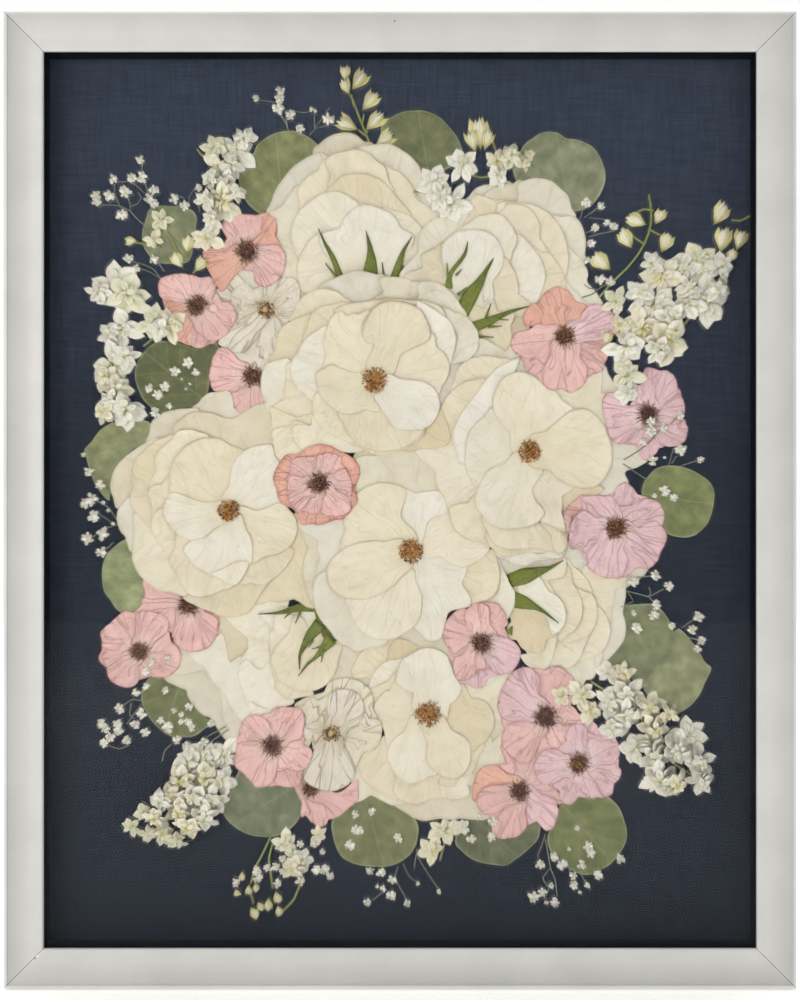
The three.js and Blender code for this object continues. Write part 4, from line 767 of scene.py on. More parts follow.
# Larkspur: stems, then florets as (x, y, reach, turn in degrees, finish), then closed buds as
# (base x, base y, tip x, tip y, width).
LARKSPUR = {
    "larkspur_buds_top": {
        "stems": ["350,92 354,100 358,112 362,122 366,132 372,147", "354,104 351,92", "362,122 364,112",
                  "364,127 368,130", "366,134 358,128", "371,146 377,146"],
        "florets": [],
        "buds": [(345, 78, 345, 63, 10), (349, 92, 343, 77, 9), (352, 88, 366, 68, 12),
                 (362, 108, 377, 90, 12), (366, 128, 384, 110, 13), (358, 128, 337, 116, 12),
                 (375, 145, 393, 131, 13)],
    },
    "larkspur_sprig_top_right": {
        "stems": ["492,136 497,150 503,170 482,176 470,172", "503,170 498,185", "413,190 425,190 440,186"],
        "florets": [(462, 163, 17, 80, "white"), (498, 160, 14, 100, "cream"), (512, 155, 13, 60, "green"),
                    (498, 176, 12, 10, "white"), (434, 181, 18, 45, "white"), (452, 202, 19, 20, "white"),
                    (440, 196, 13, 70, "white"), (530, 154, 6, 0, "cream"), (526, 164, 5, 40, "cream")],
        "buds": [(481, 146, 479, 116, 21), (476, 150, 470, 128, 10), (485, 148, 491, 128, 9)],
    },
    "larkspur_sprig_top_left": {
        "stems": ["224,150 222,200 206,230", "209,155 201,153 196,147", "214,235 216,222"],
        "florets": [(236, 147, 20, 40, "white"), (214, 145, 13, 10, "green"), (243, 138, 12, 70, "white"),
                    (217, 165, 15, 30, "yellow"), (231, 165, 12, 0, "white"), (222, 184, 14, 60, "white"),
                    (209, 178, 10, 20, "white"), (223, 203, 19, 15, "yellow"), (205, 199, 11, 50, "white"),
                    (238, 194, 9, 35, "white"),
                    (206, 237, 15, 33, "yellow"), (211, 220, 11, 80, "white")],
        "buds": [],
    },
    "larkspur_sprig_left": {
        "stems": ["120,285 124,300 122,340 114,400", "133,323 152,335", "142,345 155,335"],
        "florets": [(113, 285, 24, 18, "white"), (127, 292, 21, 50, "green"), (98, 292, 13, 80, "white"),
                    (121, 328, 19, 25, "white"), (108, 333, 12, 60, "white"), (112, 364, 23, 10, "white"),
                    (125, 357, 14, 45, "white"), (104, 376, 14, 70, "yellow"), (117, 389, 14, 20, "yellow"),
                    (110, 404, 15, 55, "white"), (127, 410, 19, 30, "white"), (104, 413, 12, 5, "cream"),
                    (152, 320, 18, 40, "green"), (168, 323, 16, 15, "cream"), (159, 330, 12, 75, "white")],
        "buds": [],
    },
    "larkspur_sprig_right": {
        "stems": ["650,192 653,210 652,225 647,240 640,252 630,265 620,274 613,281 600,296",
                  "628,215 645,207 655,209", "627,229 646,243", "667,236 651,228",
                  "733,218 742,219 752,214",
                  "733,240 712,258 705,300 680,330"],
        "florets": [(700, 259, 24, 12, "green"), (684, 268, 17, 40, "white"), (708, 301, 24, 30, "white"),
                    (688, 303, 17, 65, "white"), (719, 288, 14, 10, "white"), (661, 276, 21, 15, "yellow"),
                    (655, 305, 23, 50, "white"), (673, 318, 16, 20, "white"), (642, 327, 21, 35, "yellow"),
                    (672, 341, 22, 5, "yellow"), (658, 350, 13, 70, "white"), (627, 346, 20, 60, "white"),
                    (628, 374, 18, 25, "green"), (627, 392, 12, 0, "white"), (617, 300, 13, 45, "green"),
                    (722, 266, 14, 80, "white"), (640, 292, 14, 33, "white"),
                    (690, 288, 12, 10, "white"), (652, 262, 12, 50, "white"), (620, 324, 11, 20, "cream")],
        "buds": [(647, 223, 629, 214, 15), (657, 222, 664, 208, 13), (633, 246, 622, 228, 16),
                 (663, 250, 671, 233, 16), (611, 268, 594, 252, 18), (716, 222, 728, 202, 17),
                 (722, 250, 727, 226, 17), (739, 248, 745, 228, 14), (730, 261, 736, 248, 13),
                 (606, 345, 610, 331, 10)],
    },
    "larkspur_sprig_bottom_left": {
        "stems": ["225,750 205,775 180,805 150,835"],
        "florets": [(222, 757, 19, 10, "white"), (205, 757, 15, 50, "white"), (188, 762, 16, 30, "white"),
                    (222, 780, 17, 70, "white"), (205, 778, 16, 15, "cream"), (180, 783, 17, 45, "yellow"),
                    (168, 796, 14, 5, "cream"), (212, 800, 17, 60, "white"), (194, 798, 17, 25, "white"),
                    (179, 812, 15, 80, "yellow"), (204, 817, 15, 35, "white"), (189, 825, 14, 0, "cream"),
                    (161, 800, 13, 40, "white"), (130, 828, 9, 20, "green"), (143, 813, 10, 55, "green"),
                    (147, 836, 9, 10, "green"), (162, 833, 12, 65, "yellow"), (177, 840, 11, 30, "green"),
                    (156, 815, 11, 75, "yellow")],
        "buds": [],
    },
    "larkspur_sprig_bottom_right": {
        "stems": ["592,682 605,690 640,722 668,760 700,780", "600,690 606,700"],
        "florets": [(609, 673, 13, 20, "white"), (624, 674, 12, 60, "cream"), (628, 696, 20, 10, "white"),
                    (610, 705, 14, 45, "white"), (590, 711, 14, 15, "cream"), (582, 694, 14, 70, "yellow"),
                    (562, 696, 11, 35, "cream"), (625, 718, 18, 25, "white"), (650, 708, 16, 50, "yellow"),
                    (656, 730, 17, 5, "yellow"), (636, 748, 17, 65, "white"), (655, 756, 15, 30, "white"),
                    (690, 736, 21, 18, "white"), (678, 748, 16, 55, "white"), (700, 761, 16, 40, "white"),
                    (702, 783, 14, 0, "white"), (660, 780, 22, 22, "white"), (676, 783, 14, 75, "cream"),
                    (611, 730, 12, 20, "white"), (668, 713, 11, 60, "cream")],
        "buds": [],
    },
    "bud_sprig_bottom": {
        "stems": ["270,838 262,855 255,868 250,885", "272,845 268,860 272,890", "300,885 293,902 280,915",
                  "250,895 253,905"],
        "florets": [(285, 845, 14, 30, "green"), (303, 860, 11, 5, "white"), (292, 869, 13, 60, "cream"),
                    (318, 836, 9, 20, "cream")],
        "buds": [(241, 873, 241, 882, 6), (241, 896, 233, 894, 6), (248, 886, 248, 896, 7),
                 (255, 884, 256, 893, 7), (275, 893, 278, 904, 9), (257, 904, 262, 912, 9),
                 (268, 899, 268, 912, 8), (277, 907, 280, 917, 9), (250, 909, 257, 919, 11)],
    },
    "bud_sprig_foot": {
        "stems": ["440,862 446,840 455,828"],
        "florets": [(446, 832, 16, 20, "green"), (432, 852, 14, 50, "cream"), (463, 828, 8, 80, "white")],
        "buds": [],
    },
    "bud_sprig_upper_left": {
        "stems": ["162,226 170,236 176,250", "132,240 146,243 160,246", "187,240 186,255",
                  "199,262 192,272"],
        "florets": [(160, 219, 12, 40, "green"), (153, 238, 9, 10, "cream")],
        "buds": [(136, 239, 124, 239, 9), (187, 252, 187, 234, 11), (182, 266, 172, 252, 12),
                 (194, 270, 204, 257, 11)],
    },
}

# Bottom to top, as they lie on the linen.
LAYING_ORDER = [
    *reversed(sorted(LEAVES)),
    "larkspur_buds_top", "babys_breath_01", "babys_breath_02", "babys_breath_04", "rose_bottom",
    "rose_upper_left", "rose_upper_right", "larkspur_sprig_top_right", "rose_lower_left",
    "rose_lower_right", "white_flower_left", "pink_flower_03", "pink_flower_09", "rose_left",
    "rose_lower_middle", "rose_right", "rose_middle", "pink_flower_02", "pink_flower_01",
    "larkspur_sprig_top_left", "larkspur_sprig_left", "pink_flower_10", "pink_flower_04",
    "pink_flower_05", "pink_flower_06", "larkspur_sprig_right", "pink_flower_07", "pink_flower_08",
    "pink_flower_12", "larkspur_sprig_bottom_left", "white_flower_bottom", "pink_flower_11",
    "pink_flower_15", "pink_flower_13", "pink_flower_14", "larkspur_sprig_bottom_right",
    "bud_sprig_bottom", "bud_sprig_foot", "bud_sprig_upper_left", "babys_breath_03",
    "babys_breath_05", "babys_breath_06", "babys_breath_07", "babys_breath_08", "babys_breath_09",
    "babys_breath_10", "babys_breath_11",
]

# ---------------------------------------------------------------- petal blanks, modelled once

Blank = namedtuple("Blank", "vertices faces")


def deselect_all():
    bpy.ops.object.select_all(action="DESELECT")


def take_blank(made):
    """Reads a modelled blank's shape and puts the object away."""
    vertices = np.array([tuple(vertex.co) for vertex in made.data.vertices])
    faces = [tuple(polygon.vertices) for polygon in made.data.polygons]
    bpy.data.objects.remove(made)
    return Blank(vertices, faces)


def round_blank(segments, radii):
    """A flat disc with rings at these shares of its radius, drawn in from the rim to the middle."""
    deselect_all()
    bpy.ops.mesh.primitive_circle_add(vertices=segments, radius=1, fill_type="NGON")
    disc = bpy.context.object
    bpy.ops.object.mode_set(mode="EDIT")
    bpy.ops.mesh.select_all(action="SELECT")
    flatness = math.cos(math.pi / segments)
    for outer, inner in zip((1, *radii), radii):
        bpy.ops.mesh.inset(thickness=(outer - inner) * flatness)
    bpy.ops.mesh.poke()
    bpy.ops.object.mode_set(mode="OBJECT")
    return take_blank(disc)


def strip_blank(lengths, widths):
    """A flat strip one unit square, divided along and across."""
    deselect_all()
    bpy.ops.mesh.primitive_grid_add(x_subdivisions=lengths, y_subdivisions=widths, size=1)
    return take_blank(bpy.context.object)


def grain_blank(subdivisions, stretch):
    """A small solid grain: an anther, or one petal of a baby's-breath floret."""
    deselect_all()
    bpy.ops.mesh.primitive_ico_sphere_add(subdivisions=subdivisions, radius=1)
    grain = bpy.context.object
    bpy.ops.object.mode_set(mode="EDIT")
    bpy.ops.mesh.select_all(action="SELECT")
    bpy.ops.transform.resize(value=stretch)
    bpy.ops.object.mode_set(mode="OBJECT")
    return take_blank(grain)


ROSE_BLANK = round_blank(60, (0.98, 0.93, 0.84, 0.72, 0.55, 0.32))
SMALL_PETAL_BLANK = round_blank(52, (0.97, 0.9, 0.78, 0.63, 0.46, 0.25))
LEAF_BLANK = round_blank(64, (0.98, 0.94, 0.86, 0.74, 0.58, 0.4, 0.2))
FLORET_BLANK = round_blank(16, (0.8, 0.45))
STRIP_BLANK = strip_blank(12, 4)
ANTHER_BLANK = grain_blank(1, (1.3, 0.8, 0.8))
FILAMENT_BLANK = grain_blank(1, (3.6, 0.42, 0.42))
LOBE_BLANK = grain_blank(1, (1.0, 0.72, 0.6))

# ---------------------------------------------------------------- laying things on the linen

height_below = np.zeros((DRAWING_ROWS, DRAWING_COLUMNS))
height_above = np.full((DRAWING_ROWS, DRAWING_COLUMNS), float(HEADROOM))


def widened(field, reach, pick):
    """Each cell takes the highest or lowest value within reach."""
    for axis in (0, 1):
        field = pick.reduce([np.roll(field, step, axis) for step in range(-reach, reach + 1)])
    return field


def softened(field, reach):
    """Each cell takes the mean of the values within reach."""
    for axis in (0, 1):
        field = sum(np.roll(field, step, axis) for step in range(-reach, reach + 1)) / (2 * reach + 1)
    return field


def window(x, y, margin):
    """The part of the drawing that a piece covers, with a margin, as slices and a corner."""
    top = max(int(np.min(y)) - margin, 0)
    bottom = min(int(np.max(y)) + margin + 2, DRAWING_ROWS)
    left = max(int(np.min(x)) - margin, 0)
    right = min(int(np.max(x)) + margin + 2, DRAWING_COLUMNS)
    return (slice(top, bottom), slice(left, right)), (left, top)


def sampled(field, corner, x, y):
    """A field's values at places between its cells."""
    column = np.clip(x - corner[0], 0, field.shape[1] - 1.001)
    row = np.clip(y - corner[1], 0, field.shape[0] - 1.001)
    left, top = column.astype(int), row.astype(int)
    across, down = column - left, row - top
    upper = field[top, left] * (1 - across) + field[top, left + 1] * across
    lower = field[top + 1, left] * (1 - across) + field[top + 1, left + 1] * across
    return upper * (1 - down) + lower * down


class Sheet:
    """One thin pressed thing: a petal, a leaf, a sepal or a stem."""

    def __init__(self, blank, thickness, stiffness):
        self.blank = blank
        self.thickness = thickness
        self.stiffness = stiffness

    def over(self, area):
        """Which cells of an area the sheet lies over, and where on the sheet they are."""
        rows, columns = np.mgrid[area]
        return self.covers(columns.astype(float), rows.astype(float))

    def cover(self, covered):
        """Marks the cells that the sheet lies over."""
        area, _ = window(self.x, self.y, 1)
        covered[area] |= self.over(area)[0]

    def settle(self):
        """Lies down on everything that is already there."""
        margin = self.stiffness * 3 + 3
        area, corner = window(self.x, self.y, margin)
        ground = widened(height_below[area], self.stiffness * 2 + 2, np.maximum)
        ground = softened(softened(ground, self.stiffness), self.stiffness)
        self.area, self.corner = area, corner
        self.cells = self.over(area)
        top = ground + AIR_GAP + self.thickness
        self.height = sampled(top, corner, self.x, self.y)
        self.cell_height = top
        inside = self.cells[0]
        height_below[area] = np.where(inside, np.maximum(height_below[area], top), height_below[area])

    def lift(self):
        """Curls up as far as it wants to and as what lies on it allows."""
        inside, rim, turn = self.cells
        ceiling = widened(height_above[self.area], 3, np.minimum)
        room = np.maximum(ceiling - self.cell_height - AIR_GAP, 0)
        wanted = self.wanted_lift(self.rim, self.turn)
        self.height = self.height + np.minimum(wanted, sampled(room, self.corner, self.x, self.y))
        raised = np.minimum(self.wanted_lift(rim, turn), room)
        underside = self.cell_height + raised - self.thickness
        held = np.minimum(height_above[self.area], underside)
        height_above[self.area] = np.where(inside, held, height_above[self.area])

    def vertices(self):
        return in_the_frame(self.x, self.y, self.height)


def smooth_ring(corners, steps=8):
    """A closed smooth line through the corners of an outline."""
    share = np.arange(steps)[:, None] / steps
    ring = []
    for index in range(len(corners)):
        a, b, c, d = (corners[(index + shift) % len(corners)] for shift in (-1, 0, 1, 2))
        ring.append(
            b
            + (c - a) * share / 2
            + (a - 2.5 * b + 2 * c - d / 2) * share**2
            + (1.5 * (b - c) + (d - a) / 2) * share**3
        )
    return np.concatenate(ring)


def middle_of(ring):
    """The centre of the area inside an outline."""
    following = np.roll(ring, -1, axis=0)
    slab = ring[:, 0] * following[:, 1] - following[:, 0] * ring[:, 1]
    return ((ring + following) * slab[:, None]).sum(axis=0) / (3 * slab.sum())


def reach_along(middle, ring, turns):
    """How far the outline lies from its middle in each direction."""
    start = ring - middle
    side = np.roll(start, -1, axis=0) - start
    ahead = np.stack([np.cos(turns), np.sin(turns)], axis=-1)[:, None]
    cross = ahead[..., 0] * side[:, 1] - ahead[..., 1] * side[:, 0]
    cross = np.where(np.abs(cross) < 1e-9, 1e-9, cross)
    distance = (start[:, 0] * side[:, 1] - start[:, 1] * side[:, 0]) / cross
    along = (start[:, 0] * ahead[..., 1] - start[:, 1] * ahead[..., 0]) / cross
    met = (along >= -1e-6) & (along <= 1 + 1e-6) & (distance > 0)
    return np.where(met, distance, 0).max(axis=1)


# Directions round a petal's rim and round a small disc, and steps along a sepal or stem.
RIM_TURNS = np.linspace(0, 2 * math.pi, 144, endpoint=False)
DISC_TURNS = np.linspace(0, 2 * math.pi, 24, endpoint=False)
PATH_STEPS = 40


def waves(rng, counts):
    """A smooth random line round a rim, between 0 and 1."""
    line = sum(np.sin(RIM_TURNS * count + rng.uniform(0, 2 * math.pi)) / count**0.5 for count in counts)
    return (line - line.min()) / (line.max() - line.min())


class Petal(Sheet):
    """A petal or leaf that fills an outline."""

    grows = True

    def __init__(self, blank, ring, rng, thickness, stiffness, curl=0.8, dome=0.0, pleats=0.0, fray=0.01,
                 facing=0.0):
        super().__init__(blank, thickness, stiffness)
        self.middle = middle_of(ring)
        self.reach = reach_along(self.middle, ring, RIM_TURNS)
        self.reach = self.reach * (1 + fray * (waves(rng, (7, 11, 17, 23, 31)) - 0.5) * 2)
        self.curl, self.dome, self.pleats = curl, dome, pleats
        self.curl_line = waves(rng, (1, 2, 3, 5))
        self.pleat_turn = rng.uniform(0, 2 * math.pi)
        across, up = blank.vertices[:, 0], blank.vertices[:, 1]
        self.rim = np.hypot(across, up)
        self.turn = np.arctan2(-up, across) + facing
        self.spread()

    def spread(self):
        """Spreads the blank out to the rim."""
        distance = self.rim * self.along_rim(self.reach, self.turn)
        self.x = self.middle[0] + distance * np.cos(self.turn)
        self.y = self.middle[1] + distance * np.sin(self.turn)

    def tuck(self, covered, widest_gap):
        """Grows on under what lies above it, where only a narrow gap parts the two."""
        out = self.reach[:, None] + np.arange(1, widest_gap + 1)
        columns = np.rint(self.middle[0] + out * np.cos(RIM_TURNS)[:, None]).astype(int)
        rows = np.rint(self.middle[1] + out * np.sin(RIM_TURNS)[:, None]).astype(int)
        met = covered[rows.clip(0, DRAWING_ROWS - 1), columns.clip(0, DRAWING_COLUMNS - 1)]
        grown = np.where(met.any(axis=1), met.argmax(axis=1) + 1 + TUCKED_UNDER, 0)
        grown = np.maximum.reduce([np.roll(grown, step) for step in range(-3, 4)]).astype(float)
        for _ in range(5):
            grown = (np.roll(grown, 1) + grown + np.roll(grown, -1)) / 3
        self.reach = self.reach + grown
        self.spread()

    @staticmethod
    def along_rim(line, turn):
        """A rim line's value in a direction."""
        return np.interp(turn, RIM_TURNS, line, period=2 * math.pi)

    def covers(self, x, y):
        """Whether each place is inside the outline, its share of the way to the rim, and its direction."""
        across, down = x - self.middle[0], y - self.middle[1]
        turn = np.arctan2(down, across)
        rim = np.hypot(across, down) / np.maximum(self.along_rim(self.reach, turn), 0.5)
        return rim <= 1.0, np.minimum(rim, 1.0), turn

    def wanted_lift(self, rim, turn):
        """How far the petal would curl up if nothing held it, from its middle to its rim."""
        curled = self.curl * rim**5 * (0.15 + 0.85 * self.along_rim(self.curl_line, turn))
        domed = self.dome * (1 - rim**2)
        fold = np.sin(turn * 5 + self.pleat_turn + 2.5 * rim) * np.sin(turn * 3 - self.pleat_turn * 2)
        pleated = self.pleats * (0.5 + 0.5 * fold) * rim * (1.35 - rim)
        return curled + domed + pleated


class Strip(Sheet):
    """A narrow sepal or stem along a line that has a width at each of its points."""

    def __init__(self, blank, line, widths, thickness, stiffness, dome=0.2):
        super().__init__(blank, thickness, stiffness)
        self.dome = dome
        steps = np.concatenate([[0], np.cumsum(np.hypot(*np.diff(line, axis=0).T))])
        share = blank.vertices[:, 0] + 0.5
        self.turn = share
        self.rim = np.abs(blank.vertices[:, 1]) * 2
        self.vein_map = self.rim_map = np.stack([self.rim, share * 3], axis=-1)
        dense = np.linspace(0, 1, PATH_STEPS)
        self.path = np.stack([np.interp(dense * steps[-1], steps, line[:, axis]) for axis in (0, 1)], -1)
        for _ in range(3):
            self.path[1:-1] = (self.path[:-2] + self.path[1:-1] * 2 + self.path[2:]) / 4
        self.half = np.interp(dense * steps[-1], steps, widths) / 2
        ahead = np.gradient(self.path, axis=0)
        ahead /= np.maximum(np.hypot(ahead[:, 0], ahead[:, 1]), 1e-6)[:, None]
        offset = blank.vertices[:, 1] * 2 * np.interp(share, dense, self.half)
        self.x = np.interp(share, dense, self.path[:, 0]) + offset * np.interp(share, dense, ahead[:, 1])
        self.y = np.interp(share, dense, self.path[:, 1]) - offset * np.interp(share, dense, ahead[:, 0])

    def covers(self, x, y):
        """Whether each place is on the strip, its share of the way to the edge, and how far along it is."""
        gaps = np.hypot(x[..., None] - self.path[:, 0], y[..., None] - self.path[:, 1])
        nearest = gaps.argmin(axis=-1)
        rim = gaps.min(axis=-1) / np.maximum(self.half[nearest], 0.6)
        return rim <= 1.0, np.minimum(rim, 1.0), nearest / (PATH_STEPS - 1)

    def wanted_lift(self, rim, turn):
        """A strip only bulges along its midline."""
        return self.dome * (1 - rim**2)


# ---------------------------------------------------------------- colours of the pressed things

# A rose petal's colour, from freshly dried to old parchment.
PARCHMENT = [
    (0.0, linear("#EBE7DE")),
    (0.3, linear("#E9E6D6")),
    (0.5, linear("#E9E2CB")),
    (0.75, linear("#DFD2B4")),
    (1.0, linear("#D2C39B")),
]
HEART_TINT = linear("#D9CFA4")
DRY_RIM = linear("#B9A47A")

# Each shade of pink: the petal's body, its pale part near the heart, and its creases and rim, where the
# darkening is partly painted shade.
PINKS = {
    "pink": (linear("#F0C6C2"), linear("#F6D9D4"), linear("#AE6A68")),
    "lilac": (linear("#EFCCD2"), linear("#F6E0E3"), linear("#B4757E")),
    "coral": (linear("#EEB9A8"), linear("#F5CEBC"), linear("#B56B5A")),
}
PINK_HEART = linear("#C9AE8C")
PINK_DISC = linear("#5E3B37")
ROSE_DISC = linear("#C39A58")
WHITE_DISC = linear("#8C6B48")
PISTIL_BROWN = linear("#D8B98C")
# Each finish of larkspur: the petal's tip and its base.
FLORET_COLOURS = {
    "white": (linear("#F6F4EA"), linear("#D6D6A4")),
    "cream": (linear("#F5EFD8"), linear("#D2CC88")),
    "yellow": (linear("#F5F0DC"), linear("#CDC06C")),
    "green": (linear("#F0EED6"), linear("#A5AA58")),
    "bud": (linear("#E3DC9F"), linear("#9C9C4C")),
}
STREAK_GREEN = linear("#A9AD52")
STEM_GREEN = linear("#8E9458")
TWIG_GREY = linear("#8A8F82")
SEPAL_GREEN = linear("#6F7A2A")
SEPAL_DARK = linear("#4E5A18")
PALE_LEAF_RIM = linear("#A9AE90")


def parchment(tint):
    """A rose petal's colour: 0 is freshly dried, 1 is old parchment."""
    shares = [share for share, _ in PARCHMENT]
    return np.array([np.interp(tint, shares, [colour[i] for _, colour in PARCHMENT]) for i in range(3)])


def mixed(first, second, share):
    """Blends two colours, by one share or by a share for each vertex."""
    share = np.asarray(share, dtype=float)[..., None]
    return first * (1 - share) + second * share


def ease(value, low, high):
    """Runs smoothly from 0 at the low value to 1 at the high one."""
    step = np.clip((value - low) / (high - low), 0, 1)
    return step * step * (3 - 2 * step)


def set_vein_map(petal, heart, rng):
    """Lets veins and creases fan out from the heart: how far round it, and how far out."""
    across, down = petal.x - heart[0], petal.y - heart[1]
    facing = math.atan2(petal.middle[1] - heart[1], petal.middle[0] - heart[0])
    swing = (np.arctan2(down, across) - facing + math.pi) % (2 * math.pi) - math.pi
    distance = np.hypot(across, down) * DRAWING_UNIT
    petal.vein_map = np.stack([swing * 2 + rng.uniform(0, 50), distance / 20], axis=-1)
    petal.rim_map = np.stack([swing + rng.uniform(0, 50), petal.rim], axis=-1)
    return distance


def small_disc(x, y, reach, colour, thickness, rng):
    """The round base that a flower's stamens stand on."""
    ring = np.array([[x + reach * math.cos(turn), y + reach * math.sin(turn)] for turn in DISC_TURNS])
    disc = Petal(FLORET_BLANK, ring, rng, thickness, 1, curl=0, dome=0.4, fray=0.12)
    disc.grows = False
    set_vein_map(disc, (x, y), rng)
    disc.colour = np.tile(colour, (len(disc.x), 1)) * rng.uniform(0.75, 1.0, (len(disc.x), 1))
    return disc


def rose_petal(tint, text, heart, rng):
    """A smooth broad petal that yellows in patches and browns a little along its rim."""
    petal = Petal(ROSE_BLANK, smooth_ring(points(text)), rng, PETAL_THICKNESS, 2,
                  curl=rng.uniform(0.35, 1.1), pleats=rng.uniform(0.15, 0.45),
                  fray=rng.uniform(0.006, 0.02))
    distance = set_vein_map(petal, heart, rng)
    colour = mixed(parchment(tint), HEART_TINT, 0.3 * (1 - ease(distance, 3, 22)))
    patches = 0.5 + 0.5 * np.sin(petal.x / 17 + petal.pleat_turn) * np.sin(petal.y / 23 - petal.pleat_turn)
    colour = mixed(colour, parchment(min(tint + 0.25, 1)), 0.35 * patches)
    rim_unevenness = petal.along_rim(waves(rng, (2, 3, 7, 13)), petal.turn)
    browned = ease(petal.rim, 0.95, 1.0) * (0.4 + 0.6 * rim_unevenness) * rng.uniform(0.35, 0.75)
    petal.colour = mixed(colour, DRY_RIM, browned) * rng.uniform(0.94, 0.99)
    return petal


def pink_petal(shade, text, heart, rng):
    """A thin pleated petal, paler and browner near its heart and darker along its rim, partly with painted
    shade.
    """
    petal = Petal(SMALL_PETAL_BLANK, smooth_ring(points(text)), rng, PINK_PETAL_THICKNESS, 1,
                  curl=rng.uniform(0.4, 0.9), pleats=rng.uniform(0.6, 1.2), fray=rng.uniform(0.015, 0.045))
    distance = set_vein_map(petal, heart, rng)
    body, pale, crease = PINKS[shade]
    colour = mixed(body, pale, 0.7 * (1 - ease(distance, 6, 16)))
    colour = mixed(colour, PINK_HEART, 0.55 * (1 - ease(distance, 4, 10)))
    patches = 0.5 + 0.5 * np.sin(petal.x / 7 + petal.pleat_turn) * np.sin(petal.y / 9 - petal.pleat_turn)
    colour = mixed(colour, crease, 0.1 * patches) * rng.uniform(0.9, 1.02)
    rim_unevenness = petal.along_rim(waves(rng, (3, 5, 9, 14)), petal.turn)
    # The darker rim is partly the petal's own crease colour and partly painted shade along the borders
    # where petals overlap.
    petal.colour = mixed(colour, crease, ease(petal.rim, 0.93, 1.0) * (0.3 + 0.7 * rim_unevenness) * 0.85)
    return petal


def leaf_blade(colour, text, rng):
    """A stiff round leaf, its veins running from the end that points at the middle of the spray."""
    ring = smooth_ring(points(text))
    petal = Petal(LEAF_BLANK, ring, rng, LEAF_THICKNESS, 4, curl=rng.uniform(0.3, 0.9), dome=0.1,
                  fray=0.006)
    stalk_end = ring[np.hypot(*(ring - np.array(DRAWING_CENTRE)).T).argmin()]
    ahead = petal.middle - stalk_end
    length = np.hypot(*ahead) * 2
    ahead = ahead / np.hypot(*ahead)
    gone = np.stack([petal.x, petal.y], axis=-1) - stalk_end
    along = gone @ ahead / length
    across = (gone[:, 0] * ahead[1] - gone[:, 1] * ahead[0]) / length
    petal.vein_map = np.stack([across, along], axis=-1)
    petal.rim_map = np.stack([petal.turn, petal.rim], axis=-1)
    blade = linear(colour)
    blotch = 0.5 + 0.5 * np.sin(petal.x / 9 + petal.pleat_turn) * np.sin(petal.y / 13)
    shade = mixed(blade, blade * 0.82, blotch)
    petal.colour = mixed(shade, PALE_LEAF_RIM, 0.6 * ease(petal.rim, 0.95, 1.0))
    return petal


# Outlines of pointed petals: shares of the length, each with half the width there.
OPEN_PETAL = [(0, 0.1), (0.22, 0.32), (0.5, 0.5), (0.76, 0.44), (0.94, 0.2), (1.08, 0.0)]
BUD_PETAL = [(0, 0.14), (0.35, 0.3), (0.68, 0.5), (0.86, 0.3), (1.08, 0.0)]

# An open floret's whorls: how many petals, then their length and width as shares of its reach.
FLORET_WHORLS = ((6, 1.0, 0.66), (5, 0.56, 0.34))
FLORET_SPREAD = 1.06  # how much further the petals reach than the layout says
FLORET_EYE_PETALS = 4

# A closed bud's petals, bottom to top: how far each leans in radians, its width as a share of the
# bud's, and its finish.
BUD_WRAPPING = ((-0.3, 0.5, "bud"), (0.3, 0.5, "bud"), (-0.12, 0.46, "green"), (0.12, 0.46, "bud"),
                (0.02, 0.3, "yellow"))


def pointed_petal(start, turn, length, width, rng, finish, dome=0.0, curl=0.45, shape=OPEN_PETAL):
    """A narrow larkspur petal with a pointed tip."""
    ahead = np.array([math.cos(turn), math.sin(turn)])
    aside = np.array([-ahead[1], ahead[0]])
    corners = [start + ahead * length * along + aside * width * half for along, half in shape]
    corners += [start + ahead * length * along - aside * width * half for along, half in shape[-2::-1]]
    petal = Petal(FLORET_BLANK, smooth_ring(np.array(corners), steps=4), rng, FLORET_THICKNESS, 1,
                  curl=curl * rng.uniform(0.5, 1.2), dome=dome, pleats=0.35, fray=0.05, facing=turn)
    distance = set_vein_map(petal, start, rng) / (length * DRAWING_UNIT)
    tip, base = FLORET_COLOURS[finish]
    from_midline = np.abs((petal.x - start[0]) * aside[0] + (petal.y - start[1]) * aside[1]) / width
    streak = (1 - ease(from_midline, 0.0, 0.14)) * (1 - ease(distance, 0.6, 1.0)) * rng.uniform(0.1, 1.0)
    colour = mixed(mixed(base, tip, ease(distance, 0.0, 0.3)), STREAK_GREEN, streak * 0.7)
    petal.colour = colour * rng.uniform(0.94, 1.04)
    return petal


def floret(x, y, reach, turn, finish, rng):
    """An open larkspur floret: a spread outer whorl, a small crumpled inner one, and a greenish eye."""
    made = []
    reach = reach * FLORET_SPREAD
    for count, share, width in FLORET_WHORLS:
        for index in range(count):
            # The share also turns the inner whorl against the outer one.
            aim = math.radians(turn + index * 360 / count + rng.uniform(-20, 20)) + share
            length = reach * share * rng.uniform(0.75, 1.12)
            start = np.array([x, y]) + rng.uniform(-0.1, 0.1, 2) * reach
            spread = reach * width * rng.uniform(0.75, 1.2)
            made.append(pointed_petal(start, aim, length, spread, rng, finish))
    eye = "green" if finish in ("green", "white") else "bud"
    for _ in range(FLORET_EYE_PETALS):
        aim = rng.uniform(0, 2 * math.pi)
        start = np.array([x, y]) + rng.uniform(-0.14, 0.14, 2) * reach
        made.append(pointed_petal(start, aim, reach * 0.36, reach * 0.12, rng, eye, dome=0.3))
    return made


def closed_bud(base_x, base_y, tip_x, tip_y, width, rng):
    """A closed larkspur bud: pointed petals wrapped over one another."""
    start = np.array([base_x, base_y], dtype=float)
    reach = np.array([tip_x, tip_y]) - start
    turn = math.atan2(reach[1], reach[0])
    length = np.hypot(*reach)
    made = []
    for lean, share, finish in BUD_WRAPPING:
        made.append(pointed_petal(start, turn + lean, length * rng.uniform(0.86, 1.04), width * share, rng,
                                  finish, dome=0.45, curl=0.1, shape=BUD_PETAL))
    return made


